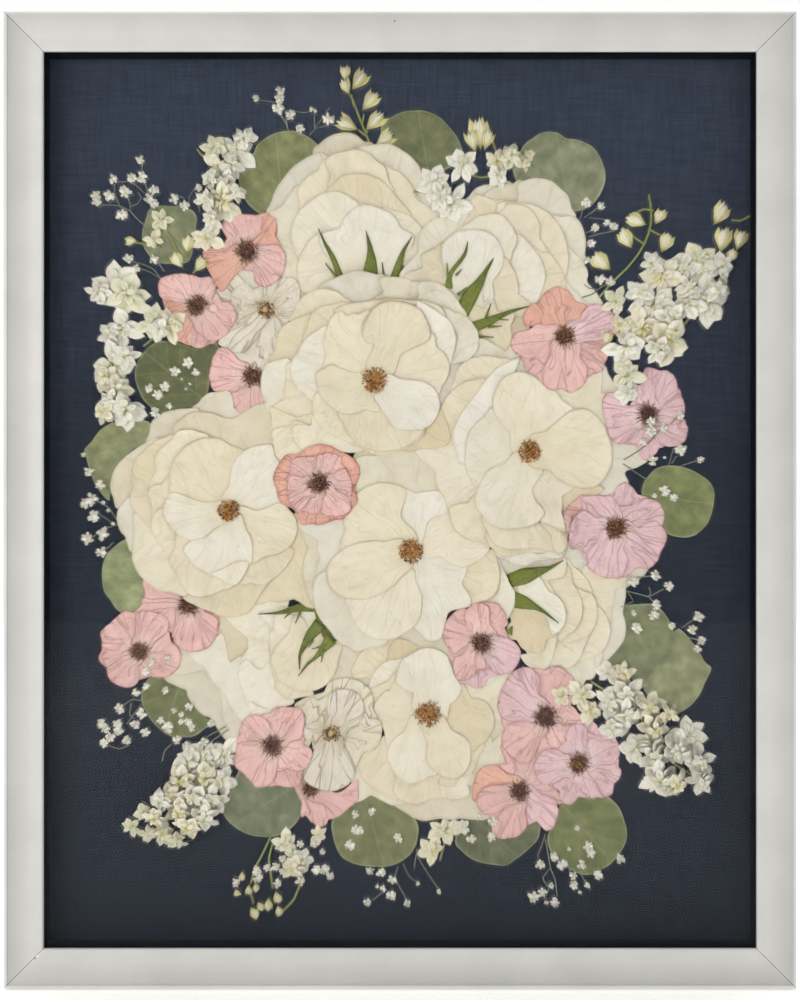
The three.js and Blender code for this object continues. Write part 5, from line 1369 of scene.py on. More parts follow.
def stem_strip(text, width, colour, thickness):
    """A stem or twig of one width and one colour."""
    line = points(text)
    strip = Strip(STRIP_BLANK, line, np.full(len(line), width), thickness, 1, dome=0.25)
    strip.colour = np.tile(colour, (len(strip.x), 1))
    return strip


def sepal_strip(text, rng):
    """A green sepal that darkens towards its tip."""
    line = points(text)
    strip = Strip(STRIP_BLANK, line[:, :2], line[:, 2], SEPAL_THICKNESS, 1, dome=0.35)
    strip.colour = mixed(SEPAL_GREEN, SEPAL_DARK, ease(strip.turn, 0.2, 1.0)) * rng.uniform(0.85, 1.1)
    return strip


def twig(text, rng):
    return stem_strip(text, TWIG_WIDTH, TWIG_GREY * rng.uniform(0.7, 1.0), TWIG_THICKNESS)


class Grains:
    """Small solid things set on top of what is laid: anthers, or puffs of baby's breath."""

    def __init__(self, blank, x, y, size, flatness, colours, rng, standing, turns=None):
        self.blank = blank
        self.x, self.y, self.size = np.asarray(x, float), np.asarray(y, float), np.asarray(size, float)
        self.flatness, self.colours, self.rng = flatness, colours, rng
        self.standing = standing
        self.turns = rng.uniform(0, 2 * math.pi, len(self.x)) if turns is None else turns

    def cover(self, covered):
        """A flower's cluster of stamens covers what lies between them."""
        middle = np.array([np.mean(self.x), np.mean(self.y)])
        reach = np.hypot(self.x - middle[0], self.y - middle[1]).max()
        rows, columns = np.mgrid[0:DRAWING_ROWS, 0:DRAWING_COLUMNS]
        covered |= np.hypot(columns - middle[0], rows - middle[1]) <= reach

    def settle(self):
        """Stands on what is already there, each grain a small bump for what comes next."""
        reach = max(int(np.max(self.size) / DRAWING_UNIT), 1)
        area, corner = window(self.x, self.y, reach + 2)
        ground = widened(height_below[area], reach, np.maximum)
        self.base = sampled(ground, corner, self.x, self.y) + AIR_GAP
        rows, columns = np.mgrid[area]
        for x, y, size, base in zip(self.x, self.y, self.size, self.base):
            near = np.hypot(columns - x, rows - y) <= size / DRAWING_UNIT
            top = base + size * self.flatness
            height_below[area] = np.where(near, np.maximum(height_below[area], top), height_below[area])

    def lift(self):
        """Holds down what lies below, as it stays where it is."""
        for x, y, size, base in zip(self.x, self.y, self.size, self.base):
            area, _ = window(x, y, max(int(size / DRAWING_UNIT), 1))
            height_above[area] = np.minimum(height_above[area], base)

    def shape(self):
        """All grains as one set of vertices, in the row's frame, with their colours."""
        placed, colours = [], []
        for index, (x, y, size, base) in enumerate(zip(self.x, self.y, self.size, self.base)):
            grain = self.blank.vertices * size
            spin = self.turns[index]
            across = grain[:, 0] * math.cos(spin) - grain[:, 1] * math.sin(spin)
            down = grain[:, 0] * math.sin(spin) + grain[:, 1] * math.cos(spin)
            out = base + self.standing * self.rng.uniform(0, 1) + (grain[:, 2] + size) * self.flatness / 2
            placed.append(in_the_frame(x + across / DRAWING_UNIT, y - down / DRAWING_UNIT, out))
            colour = self.colours[index % len(self.colours)] * self.rng.uniform(0.8, 1.1)
            colours.append(np.tile(colour, (len(grain), 1)))
        return np.concatenate(placed), np.concatenate(colours)


ROSE_ANTHERS = [linear(colour) for colour in ("#B3702F", "#D9A868", "#7A4A1C", "#C98A44", "#5C3A14")]
ROSE_FILAMENTS = [linear(colour) for colour in ("#C58A45", "#B9702C", "#E0B87C")]
PINK_ANTHERS = [linear(colour) for colour in ("#5A332C", "#7B4A3E", "#3A1D1C", "#A67A5C", "#8F6A62")]
PINK_FILAMENTS = [linear(colour) for colour in ("#5C3630", "#8A6248", "#A98A5E")]
YELLOWED_ANTHERS = [linear(colour) for colour in ("#6A3B28", "#9A6A35", "#3F2018", "#C0934F")]
WHITE_ANTHERS = [linear(colour) for colour in ("#8A6236", "#5E3F1E", "#B98F56", "#D8C08A")]
PUFF_WHITES = [linear(colour) for colour in ("#F6F4EC", "#E9E7DA", "#F1EEE2", "#DEDCC4")]
PUFF_PETALS = 8
PINKS_WITH_YELLOWED_ANTHERS = ("pink_flower_05", "pink_flower_07", "pink_flower_14")

# How many stamens a flower shows, and their size in millimetres.
Stamens = namedtuple("Stamens", "filaments filament_size anthers anther_size")
ROSE_STAMENS_SHOWN = Stamens(70, 0.5, 150, 0.5)
PINK_STAMENS_SHOWN = Stamens(60, 0.42, 170, 0.4)
WHITE_STAMENS_SHOWN = Stamens(0, 0, 80, 0.5)
WHITE_DISC_REACH = 6  # in drawing units, like the next one
WHITE_STAMENS_REACH = 9


def around(middle, distance, turn):
    """The place at a distance and in a direction from a middle."""
    return middle[0] + distance * np.cos(turn), middle[1] + distance * np.sin(turn)


def anthers(middle, reach, count, colours, size, rng, standing=0.9):
    """A round cluster of anthers, closer together towards its middle."""
    x, y = around(middle, reach * rng.uniform(0, 1, count) ** 0.6, rng.uniform(0, 2 * math.pi, count))
    return Grains(ANTHER_BLANK, x, y, rng.uniform(0.75, 1.25, count) * size, 0.8, colours, rng, standing)


def filaments(middle, reach, count, colours, size, rng):
    """The threads that carry the anthers, fanned out round the middle."""
    turns = rng.uniform(0, 2 * math.pi, count)
    x, y = around(middle, reach * rng.uniform(0.45, 1.0, count), turns)
    return Grains(FILAMENT_BLANK, x, y, rng.uniform(0.7, 1.2, count) * size, 0.6, colours, rng,
                  standing=0.4, turns=-turns)


def puffs(text, rng):
    """Baby's breath: each puff is a ruffle of small petals round a tighter ring of a few more."""
    places, sizes, turns = [], [], []
    for *middle, reach in points(text):
        for share, count in ((0.66, PUFF_PETALS), (0.3, PUFF_PETALS // 2)):
            turn = np.linspace(0, 2 * math.pi, count, endpoint=False) + rng.uniform(-0.4, 0.4, count)
            places.append(around(middle, reach * share * rng.uniform(0.75, 1.2, count), turn))
            sizes.append(reach * DRAWING_UNIT * rng.uniform(0.36, 0.58, count))
            turns.append(-turn)
    x, y = np.concatenate(places, axis=1)
    return Grains(LOBE_BLANK, x, y, np.concatenate(sizes), 0.9, PUFF_WHITES, rng, standing=0.7,
                  turns=np.concatenate(turns))


# ---------------------------------------------------------------- what each pressed piece is made of

# How much further some roses have yellowed as a whole, as a share of the way to old parchment.
YELLOWER_ROSES = {"rose_bottom": 0.1, "rose_lower_left": 0.08, "rose_left": 0.08, "rose_middle": 0.05}

# A rose's lowest petals are the outer ones, and they get painted shade, as if shadowed by the petals above:
# the first of them by this much, and each one above it by less.
LOWEST_PETALS = 6
LOWEST_PETAL_PAINTED_SHADE = 0.86


def rose_layers(name, rng):
    heart, petals = ROSES[name]
    yellower = YELLOWER_ROSES.get(name, 0)
    sheets = [rose_petal(min(tint + yellower, 1), text, heart, rng) for tint, text in petals]
    # Painted shade on the lowest petals.
    for index, petal in enumerate(sheets[:LOWEST_PETALS]):
        petal.colour = petal.colour * (LOWEST_PETAL_PAINTED_SHADE + (1 - LOWEST_PETAL_PAINTED_SHADE) * index / LOWEST_PETALS)
    sheets += [sepal_strip(text, rng) for text in ROSE_SEPALS.get(name, [])]
    grains = []
    if name in ROSE_STAMENS:
        reach = ROSE_STAMENS[name]
        sheets.append(small_disc(*heart, reach * 0.6, ROSE_DISC, PETAL_THICKNESS, rng))
        shown = ROSE_STAMENS_SHOWN
        grains.append(filaments(heart, reach, shown.filaments, ROSE_FILAMENTS, shown.filament_size, rng))
        grains.append(anthers(heart, reach, shown.anthers, ROSE_ANTHERS, shown.anther_size, rng,
                              standing=1.6))
    return sheets, grains


def white_flower_layers(name, rng):
    heart, petals = WHITE_FLOWERS[name]
    sheets = []
    for tint, text in petals:
        petal = rose_petal(tint, text, heart, rng)
        petal.pleats = 0.9
        crease = 0.16 + 0.4 * (1 - ease(np.hypot(petal.x - heart[0], petal.y - heart[1]), 6, 22))
        petal.colour = mixed(petal.colour, DRY_RIM, crease)
        sheets.append(petal)
    sheets.append(small_disc(*heart, WHITE_DISC_REACH, WHITE_DISC, PETAL_THICKNESS, rng))
    pistil = Grains(LOBE_BLANK, [heart[0]], [heart[1] - 1], [2.4], 0.5, [PISTIL_BROWN], rng, standing=0)
    shown = WHITE_STAMENS_SHOWN
    ring = anthers(heart, WHITE_STAMENS_REACH, shown.anthers, WHITE_ANTHERS, shown.anther_size, rng)
    return sheets, [ring, pistil]


def pink_flower_layers(name, rng):
    heart, reach, petals = PINK_FLOWERS[name]
    sheets = [pink_petal(shade, text, heart, rng) for shade, text in petals]
    sheets.append(small_disc(*heart, reach * 0.65, PINK_DISC, PINK_PETAL_THICKNESS, rng))
    colours = YELLOWED_ANTHERS if name in PINKS_WITH_YELLOWED_ANTHERS else PINK_ANTHERS
    shown = PINK_STAMENS_SHOWN
    return sheets, [
        filaments(heart, reach * 1.1, shown.filaments, PINK_FILAMENTS, shown.filament_size, rng),
        anthers(heart, reach * 0.9, shown.anthers, colours, shown.anther_size, rng),
    ]


def leaf_layers(name, rng):
    colour, text = LEAVES[name]
    return [leaf_blade(colour, text, rng)], []


def larkspur_layers(name, rng):
    sprig = LARKSPUR[name]
    sheets = [stem_strip(text, STEM_WIDTH, STEM_GREEN, STEM_THICKNESS) for text in sprig["stems"]]
    for bud in sprig["buds"]:
        sheets += closed_bud(*bud, rng)
    for x, y, reach, turn, finish in sprig["florets"]:
        sheets += floret(x, y, reach, turn, finish, rng)
    return sheets, []


def babys_breath_layers(name, rng):
    text, twigs = BABYS_BREATH[name]
    return [twig(line, rng) for line in twigs], [puffs(text, rng)]


def layers_of(name, rng):
    """A pressed piece's sheets, bottom to top, and the grains that stand on them."""
    for kinds, make in (
        (ROSES, rose_layers),
        (WHITE_FLOWERS, white_flower_layers),
        (PINK_FLOWERS, pink_flower_layers),
        (LEAVES, leaf_layers),
        (LARKSPUR, larkspur_layers),
        (BABYS_BREATH, babys_breath_layers),
    ):
        if name in kinds:
            return make(name, rng)
    raise KeyError(name)


# ---------------------------------------------------------------- meshes


def mesh_object(name, vertices, faces, colours, maps, material):
    """One mesh with its colours and its maps for veins and creases."""
    mesh = bpy.data.meshes.new(name)
    mesh.from_pydata(vertices.tolist(), [], faces)
    shade = mesh.color_attributes.new("shade", "FLOAT_COLOR", "POINT")
    shade.data.foreach_set("color", np.column_stack([colours, np.ones(len(colours))]).ravel())
    corners = np.zeros(len(mesh.loops), dtype=np.int32)
    mesh.loops.foreach_get("vertex_index", corners)
    for map_name, places in maps.items():
        layer = mesh.uv_layers.new(name=map_name)
        layer.data.foreach_set("uv", places[corners].ravel())
    mesh.materials.append(material)
    mesh.update()
    made = bpy.data.objects.new(name, mesh)
    bpy.context.collection.objects.link(made)
    return made


def select_only(*chosen):
    """Selects these objects alone and makes the first one active."""
    deselect_all()
    for item in chosen:
        item.select_set(True)
    bpy.context.view_layer.objects.active = chosen[0]


def joined(name, pieces):
    """Makes one smooth-shaded object of several."""
    select_only(*pieces)
    if len(pieces) > 1:
        bpy.ops.object.join()
    whole = bpy.context.view_layer.objects.active
    whole.name = name
    whole.data.name = name
    bpy.ops.object.shade_smooth()
    return whole


def sheets_of_one_thickness(name, sheets, material):
    """Petals as thin solids: the front faces are laid and the thickness goes behind them."""
    faces = []
    start = 0
    for sheet in sheets:
        faces += [tuple(corner + start for corner in face) for face in sheet.blank.faces]
        start += len(sheet.x)
    vertices = np.concatenate([sheet.vertices() for sheet in sheets])
    colours = np.concatenate([sheet.colour for sheet in sheets])
    maps = {
        "veins": np.concatenate([sheet.vein_map for sheet in sheets]),
        "rim": np.concatenate([sheet.rim_map for sheet in sheets]),
    }
    made = mesh_object(name, vertices, faces, colours, maps, material)
    select_only(made)
    solidify = made.modifiers.new("thickness", "SOLIDIFY")
    solidify.thickness = sheets[0].thickness * METRES
    solidify.offset = -1
    bpy.ops.object.modifier_apply(modifier=solidify.name)
    return made


def grains_object(name, grains, material):
    """A copy of the grain at each of its places, as one object."""
    vertices, colours = grains.shape()
    faces = []
    size = len(grains.blank.vertices)
    for copy in range(len(grains.x)):
        faces += [tuple(corner + copy * size for corner in face) for face in grains.blank.faces]
    return mesh_object(name, vertices, faces, colours, {}, material)


def pressed_piece(name, sheets, grains, sheet_material, green_material, grain_material):
    """Fuses one pressed flower's petals, greens and stamens into one piece."""
    parts = []
    greens = [sheet for sheet in sheets if isinstance(sheet, Strip)]
    petals = [sheet for sheet in sheets if isinstance(sheet, Petal)]
    if petals:
        parts.append(sheets_of_one_thickness(name + "_petals", petals, sheet_material))
    if greens:
        parts.append(sheets_of_one_thickness(name + "_greens", greens, green_material))
    parts += [grains_object(name + "_grains", group, grain_material) for group in grains]
    return joined(name + "_pressed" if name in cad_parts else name, parts)


# ---------------------------------------------------------------- materials

# How fine each pattern is, as features to a metre: 100 gives features about 10 mm across. The side
# veins are counted on the leaf instead.
PETAL_MOTTLE = 90.0  # soft patches of 11 mm
PETAL_SPECKS = 520.0  # dry specks of 2 mm, coarser than real ones so that they show
LEAF_BLOOM = 160.0  # patches of bloom of 6 mm
LEAF_VEIN_BENDS = 60.0  # the side veins wander every 17 mm
LEAF_SIDE_VEINS = 9.0  # along a leaf's length, slanting forwards as much as they run outwards
STEM_SKIN = 700.0  # 1.4 mm
ANTHER_SKIN = 900.0  # 1.1 mm
PUFF_SKIN = 500.0  # 2 mm
LINEN_THREADS = 900.0  # 1.1 mm apart, twice the real spacing so that they show
LINEN_DYE = 9.0  # uneven dye, in patches of 110 mm
BRUSH_MARKS = 35.0  # uneven brushing, in patches of 29 mm
CHIP_EDGE = 900.0  # ragged every 1.1 mm
CLOTH_FIBRES = 700.0  # 1.4 mm, coarser than real ones so that they show
HARDBOARD_FLECKS = 420.0  # 2.4 mm
ZINC_GRAIN = 260.0  # streaks 4 mm wide and ten times as long
FLOOR_UNEVENNESS = 3.0

# The linen's colour is painted darker low down and lighter high up, as light from above would fall, between
# these heights, in millimetres.
LINEN_PAINTED_SHADE_LOW, LINEN_PAINTED_LIGHT_HIGH = -500, -20

# Settings of a colour mix.
BLEND = {"data_type": "RGBA"}
MULTIPLY = {"data_type": "RGBA", "blend_type": "MULTIPLY"}
LIGHTEN = {"data_type": "RGBA", "blend_type": "LIGHTEN"}


def add(tree, kind, links=None, **settings):
    """Adds a node. Links name an input and give it a value or another node's output."""
    made = tree.nodes.new(kind)
    for name, value in settings.items():
        setattr(made, name, value)
    for name, value in (links or {}).items():
        socket = made.inputs[name]
        if isinstance(value, bpy.types.NodeSocket):
            tree.links.new(value, socket)
        else:
            socket.default_value = value
    return made


def new_material(name):
    """A material, with its node tree and its surface node."""
    material = bpy.data.materials.new(name)
    material.use_nodes = True
    tree = material.node_tree
    return material, tree, tree.nodes["Principled BSDF"]


def rgba(hex_colour):
    """A linear colour with full opacity, as nodes take it."""
    return (*linear(hex_colour), 1.0)


def stops(ramp_node, *colours):
    """Sets a colour ramp's stops from pairs of position and colour."""
    ramp = ramp_node.color_ramp
    while len(ramp.elements) < len(colours):
        ramp.elements.new(0.5)
    for element, (position, colour) in zip(ramp.elements, colours):
        element.position = position
        element.color = colour if isinstance(colour, tuple) else (colour, colour, colour, 1)
    return ramp_node.outputs["Color"]


def crease_lines(tree, places, distortion, width):
    """Thin wandering lines: where a soft noise passes through its middle value."""
    field = add(tree, "ShaderNodeTexNoise",
                {"Vector": places, "Scale": 1.0, "Detail": 1.0, "Distortion": distortion})
    return stops(add(tree, "ShaderNodeValToRGB", {"Fac": field.outputs["Fac"]}),
                 (0.5 - width, 0.0), (0.5, 1.0), (0.5 + width, 0.0))


def dried_petal(name, vein_strength, crinkle, roughness, crease, crease_strength, rim_creases,
                vein_scale=7.0, speck=0.12):
    """Dried petal: matt, faintly veined from its base, finely crinkled, with darker crease lines."""
    material, tree, surface = new_material(name)
    shade = add(tree, "ShaderNodeAttribute", attribute_name="shade").outputs["Color"]
    vein_map = add(tree, "ShaderNodeUVMap", uv_map="veins").outputs["UV"]
    drawn_out = add(tree, "ShaderNodeMapping", {"Vector": vein_map, "Scale": (vein_scale, 1.2, 1)})
    veins = add(tree, "ShaderNodeTexNoise",
                {"Vector": drawn_out.outputs["Vector"], "Scale": 1.0, "Detail": 4.0, "Roughness": 0.62})
    vein_tone = stops(add(tree, "ShaderNodeValToRGB", {"Fac": veins.outputs["Fac"]}),
                      (0.36, 1.0 - vein_strength), (0.5, 1.0), (0.7, 1.0 - vein_strength * 0.4))
    place = add(tree, "ShaderNodeTexCoord").outputs["Object"]
    mottle = add(tree, "ShaderNodeTexNoise", {"Vector": place, "Scale": PETAL_MOTTLE, "Detail": 5.0})
    mottle_tone = stops(add(tree, "ShaderNodeValToRGB", {"Fac": mottle.outputs["Fac"]}),
                        (0.3, (0.93, 0.915, 0.87, 1)), (0.62, (1.0, 1.0, 1.0, 1)))
    grain = add(tree, "ShaderNodeTexNoise", {"Vector": place, "Scale": PETAL_SPECKS, "Detail": 3.0})
    speck_tone = stops(add(tree, "ShaderNodeValToRGB", {"Fac": grain.outputs["Fac"]}),
                       (0.25, (1 - speck, 1 - speck * 1.2, 1 - speck * 1.6, 1)),
                       (0.36, (1.0, 1.0, 1.0, 1)))
    colour = shade
    for tone in (vein_tone, mottle_tone, speck_tone):
        toned = add(tree, "ShaderNodeMix", {"Factor": 1.0, "A": colour, "B": tone}, **MULTIPLY)
        colour = toned.outputs["Result"]
    fanned = add(tree, "ShaderNodeMapping", {"Vector": vein_map, "Scale": (2.0, 0.55, 1)})
    rim_map = add(tree, "ShaderNodeUVMap", uv_map="rim").outputs["UV"]
    hooped = add(tree, "ShaderNodeMapping", {"Vector": rim_map, "Scale": (1.3, 2.4, 1)})
    along_petal = crease_lines(tree, fanned.outputs["Vector"], distortion=0.25, width=0.026)
    along_rim = crease_lines(tree, hooped.outputs["Vector"], distortion=0.6, width=0.016)
    either = add(tree, "ShaderNodeMix",
                 {"Factor": rim_creases, "A": along_petal, "B": along_rim}, **LIGHTEN)
    creases = either.outputs["Result"]
    share = add(tree, "ShaderNodeMath", {0: creases, 1: crease_strength}, operation="MULTIPLY")
    creased = add(tree, "ShaderNodeMix",
                  {"Factor": share.outputs["Value"], "A": colour, "B": rgba(crease)}, **BLEND)
    tree.links.new(creased.outputs["Result"], surface.inputs["Base Color"])
    surface.inputs["Roughness"].default_value = roughness
    surface.inputs["Sheen Weight"].default_value = 0.08
    folded = add(tree, "ShaderNodeMath", {0: creases, 1: -0.5, 2: veins.outputs["Fac"]},
                 operation="MULTIPLY_ADD")
    crease_relief = add(tree, "ShaderNodeBump",
                        {"Height": folded.outputs["Value"], "Strength": crinkle, "Distance": 0.001})
    fine_relief = add(tree, "ShaderNodeBump", {"Height": mottle.outputs["Fac"], "Strength": crinkle * 0.6,
                                               "Distance": 0.0006,
                                               "Normal": crease_relief.outputs["Normal"]})
    tree.links.new(fine_relief.outputs["Normal"], surface.inputs["Normal"])
    return material


def dried_eucalyptus():
    """Silver-dollar eucalyptus leaf: leathery, grey-green, with a pale bloom and thin branching veins."""
    material, tree, surface = new_material("dried_eucalyptus")
    shade = add(tree, "ShaderNodeAttribute", attribute_name="shade").outputs["Color"]
    leaf_map = add(tree, "ShaderNodeUVMap", uv_map="veins").outputs["UV"]
    place = add(tree, "ShaderNodeTexCoord").outputs["Object"]
    wander = add(tree, "ShaderNodeTexNoise", {"Vector": place, "Scale": LEAF_VEIN_BENDS, "Detail": 2.0})
    parts = add(tree, "ShaderNodeSeparateXYZ", {"Vector": leaf_map})
    aside = add(tree, "ShaderNodeMath", {0: parts.outputs["X"]}, operation="ABSOLUTE").outputs["Value"]
    slant = add(tree, "ShaderNodeMath", {0: aside, 1: -LEAF_SIDE_VEINS}, operation="MULTIPLY")
    run = add(tree, "ShaderNodeMath",
              {0: parts.outputs["Y"], 1: LEAF_SIDE_VEINS, 2: slant.outputs["Value"]},
              operation="MULTIPLY_ADD")
    bent = add(tree, "ShaderNodeMath", {0: wander.outputs["Fac"], 1: 1.6, 2: run.outputs["Value"]},
               operation="MULTIPLY_ADD")
    swing = add(tree, "ShaderNodeMath", {0: bent.outputs["Value"], 1: 1.0}, operation="PINGPONG")
    side_veins = stops(add(tree, "ShaderNodeValToRGB", {"Fac": swing.outputs["Value"]}),
                       (0.0, 1.0), (0.09, 0.0))
    midrib = stops(add(tree, "ShaderNodeValToRGB", {"Fac": aside}), (0.0, 1.0), (0.016, 0.0))
    either = add(tree, "ShaderNodeMix", {"Factor": 1.0, "A": side_veins, "B": midrib}, **LIGHTEN)
    veins = either.outputs["Result"]
    mottle = add(tree, "ShaderNodeTexNoise", {"Vector": place, "Scale": LEAF_BLOOM, "Detail": 6.0})
    bloom = stops(add(tree, "ShaderNodeValToRGB", {"Fac": mottle.outputs["Fac"]}),
                  (0.34, (0.76, 0.77, 0.68, 1)), (0.52, (1.0, 1.0, 0.96, 1)), (0.7, (1.34, 1.3, 1.22, 1)))
    toned = add(tree, "ShaderNodeMix", {"Factor": 1.0, "A": shade, "B": bloom}, **MULTIPLY)
    share = add(tree, "ShaderNodeMath", {0: veins, 1: 0.25}, operation="MULTIPLY")
    veined = add(tree, "ShaderNodeMix", {"Factor": share.outputs["Value"], "A": toned.outputs["Result"],
                                         "B": rgba("#A8AC8A")}, **BLEND)
    tree.links.new(veined.outputs["Result"], surface.inputs["Base Color"])
    surface.inputs["Roughness"].default_value = 0.62
    relief = add(tree, "ShaderNodeBump",
                 {"Height": mottle.outputs["Fac"], "Strength": 0.35, "Distance": 0.0006})
    ribs = add(tree, "ShaderNodeBump", {"Height": veins, "Strength": 0.3,
                                        "Distance": 0.0004, "Normal": relief.outputs["Normal"]})
    tree.links.new(ribs.outputs["Normal"], surface.inputs["Normal"])
    return material


def dry_bits(name, roughness, mottle_scale):
    """Stamens, sepals and stems: each takes its colour from the piece, with a dry, uneven skin."""
    material, tree, surface = new_material(name)
    shade = add(tree, "ShaderNodeAttribute", attribute_name="shade").outputs["Color"]
    place = add(tree, "ShaderNodeTexCoord").outputs["Object"]
    mottle = add(tree, "ShaderNodeTexNoise", {"Vector": place, "Scale": mottle_scale, "Detail": 3.0})
    tone = stops(add(tree, "ShaderNodeValToRGB", {"Fac": mottle.outputs["Fac"]}), (0.3, 0.72), (0.65, 1.1))
    toned = add(tree, "ShaderNodeMix", {"Factor": 1.0, "A": shade, "B": tone}, **MULTIPLY)
    tree.links.new(toned.outputs["Result"], surface.inputs["Base Color"])
    surface.inputs["Roughness"].default_value = roughness
    relief = add(tree, "ShaderNodeBump",
                 {"Height": mottle.outputs["Fac"], "Strength": 0.4, "Distance": 0.0003})
    tree.links.new(relief.outputs["Normal"], surface.inputs["Normal"])
    return material


def navy_linen():
    """Plain-weave linen, with painted light: lighter towards the top and darker towards the bottom.

    The slubby threads are drawn at twice their real spacing so that they show.
    """
    material, tree, surface = new_material("navy_linen")
    place = add(tree, "ShaderNodeTexCoord").outputs["Object"]
    threads = []
    for stretch in ((1, 1, 0.06), (0.06, 1, 1)):
        drawn_out = add(tree, "ShaderNodeMapping", {"Vector": place, "Scale": stretch})
        thread = add(tree, "ShaderNodeTexNoise",
                     {"Vector": drawn_out.outputs["Vector"], "Scale": LINEN_THREADS, "Detail": 2.0})
        threads.append(thread.outputs["Fac"])
    weave = add(tree, "ShaderNodeMath", {0: threads[0], 1: threads[1]}, operation="ADD")
    evened = add(tree, "ShaderNodeMath", {0: weave.outputs["Value"], 1: 0.5}, operation="MULTIPLY")
    slubs = stops(add(tree, "ShaderNodeValToRGB", {"Fac": evened.outputs["Value"]}),
                  (0.36, rgba("#202734")), (0.5, rgba("#262D3A")), (0.64, rgba("#2D3441")))
    dye = add(tree, "ShaderNodeTexNoise", {"Vector": place, "Scale": LINEN_DYE, "Detail": 2.0})
    dye_tone = stops(add(tree, "ShaderNodeValToRGB", {"Fac": dye.outputs["Fac"]}), (0.3, 0.96), (0.7, 1.04))
    # Painted light and shade: the colour is raised towards the top and lowered towards the bottom, as light
    # from above would fall.
    height = add(tree, "ShaderNodeSeparateXYZ", {"Vector": place}).outputs["Z"]
    upwards = add(tree, "ShaderNodeMapRange", {"Value": height, "From Min": LINEN_PAINTED_SHADE_LOW * METRES,
                                               "From Max": LINEN_PAINTED_LIGHT_HIGH * METRES})
    painted_light_from_above = stops(add(tree, "ShaderNodeValToRGB", {"Fac": upwards.outputs["Result"]}),
                  (0.0, 0.8), (0.55, 0.95), (1.0, 1.7))
    colour = slubs
    for tone in (dye_tone, painted_light_from_above):
        toned = add(tree, "ShaderNodeMix", {"Factor": 1.0, "A": colour, "B": tone}, **MULTIPLY)
        colour = toned.outputs["Result"]
    tree.links.new(colour, surface.inputs["Base Color"])
    surface.inputs["Roughness"].default_value = 0.95
    surface.inputs["Specular IOR Level"].default_value = 0.2
    surface.inputs["Sheen Weight"].default_value = 0.15
    relief = add(tree, "ShaderNodeBump",
                 {"Height": weave.outputs["Value"], "Strength": 0.25, "Distance": 0.0003})
    tree.links.new(relief.outputs["Normal"], surface.inputs["Normal"])
    return material


def plain_finish(name, low, high, scale, roughness, relief_strength, metallic=0.0, stretch=(1, 1, 1),
                 specular=0.5):
    """A finish whose colour wanders between two close shades, with a matching low relief."""
    material, tree, surface = new_material(name)
    place = add(tree, "ShaderNodeTexCoord").outputs["Object"]
    drawn_out = add(tree, "ShaderNodeMapping", {"Vector": place, "Scale": stretch})
    wander = add(tree, "ShaderNodeTexNoise",
                 {"Vector": drawn_out.outputs["Vector"], "Scale": scale, "Detail": 5.0})
    colour = stops(add(tree, "ShaderNodeValToRGB", {"Fac": wander.outputs["Fac"]}),
                   (0.35, rgba(low)), (0.65, rgba(high)))
    tree.links.new(colour, surface.inputs["Base Color"])
    surface.inputs["Roughness"].default_value = roughness
    surface.inputs["Metallic"].default_value = metallic
    surface.inputs["Specular IOR Level"].default_value = specular
    relief = add(tree, "ShaderNodeBump",
                 {"Height": wander.outputs["Fac"], "Strength": relief_strength, "Distance": 0.0004})
    tree.links.new(relief.outputs["Normal"], surface.inputs["Normal"])
    return material


def clear_glass():
    """Picture glass: clear, so mostly seen by its reflections."""
    material, _, surface = new_material("clear_glass")
    surface.inputs["Base Color"].default_value = (1, 1, 1, 1)
    surface.inputs["Transmission Weight"].default_value = 1.0
    surface.inputs["Roughness"].default_value = 0.0
    surface.inputs["IOR"].default_value = 1.5
    surface.inputs["Alpha"].default_value = 0.1
    return material


def wear_and_highlight_mark(material, mark_colour, reach, place, lengthened=1.0):
    """A small mark painted at one place on the front, across and up, drawn out on a diagonal: used for a
    chip, a speck and a painted highlight.
    """
    tree = material.node_tree
    surface = tree.nodes["Principled BSDF"]
    painted = surface.inputs["Base Color"].links[0].from_socket
    away = add(tree, "ShaderNodeVectorMath",
               {0: add(tree, "ShaderNodeTexCoord").outputs["Object"],
                1: (place[0] * METRES, 0, place[1] * METRES)}, operation="SUBTRACT")
    turned = add(tree, "ShaderNodeMapping", {"Vector": away.outputs["Vector"],
                                             "Rotation": (0, -math.pi / 4, 0),
                                             "Scale": (lengthened, 1e6, 1)}, vector_type="TEXTURE")
    gap = add(tree, "ShaderNodeVectorMath", {0: turned.outputs["Vector"]}, operation="LENGTH")
    ragged = add(tree, "ShaderNodeTexNoise", {"Vector": away.outputs["Vector"], "Scale": CHIP_EDGE})
    uneven = add(tree, "ShaderNodeMath", {0: ragged.outputs["Fac"], 1: reach * METRES,
                                          2: gap.outputs["Value"]}, operation="MULTIPLY_ADD")
    mark = add(tree, "ShaderNodeMath", {0: uneven.outputs["Value"], 1: reach * METRES * 1.4},
               operation="LESS_THAN")
    marked = add(tree, "ShaderNodeMix",
                 {"Factor": mark.outputs["Value"], "A": painted, "B": rgba(mark_colour)}, **BLEND)
    tree.links.new(marked.outputs["Result"], surface.inputs["Base Color"])


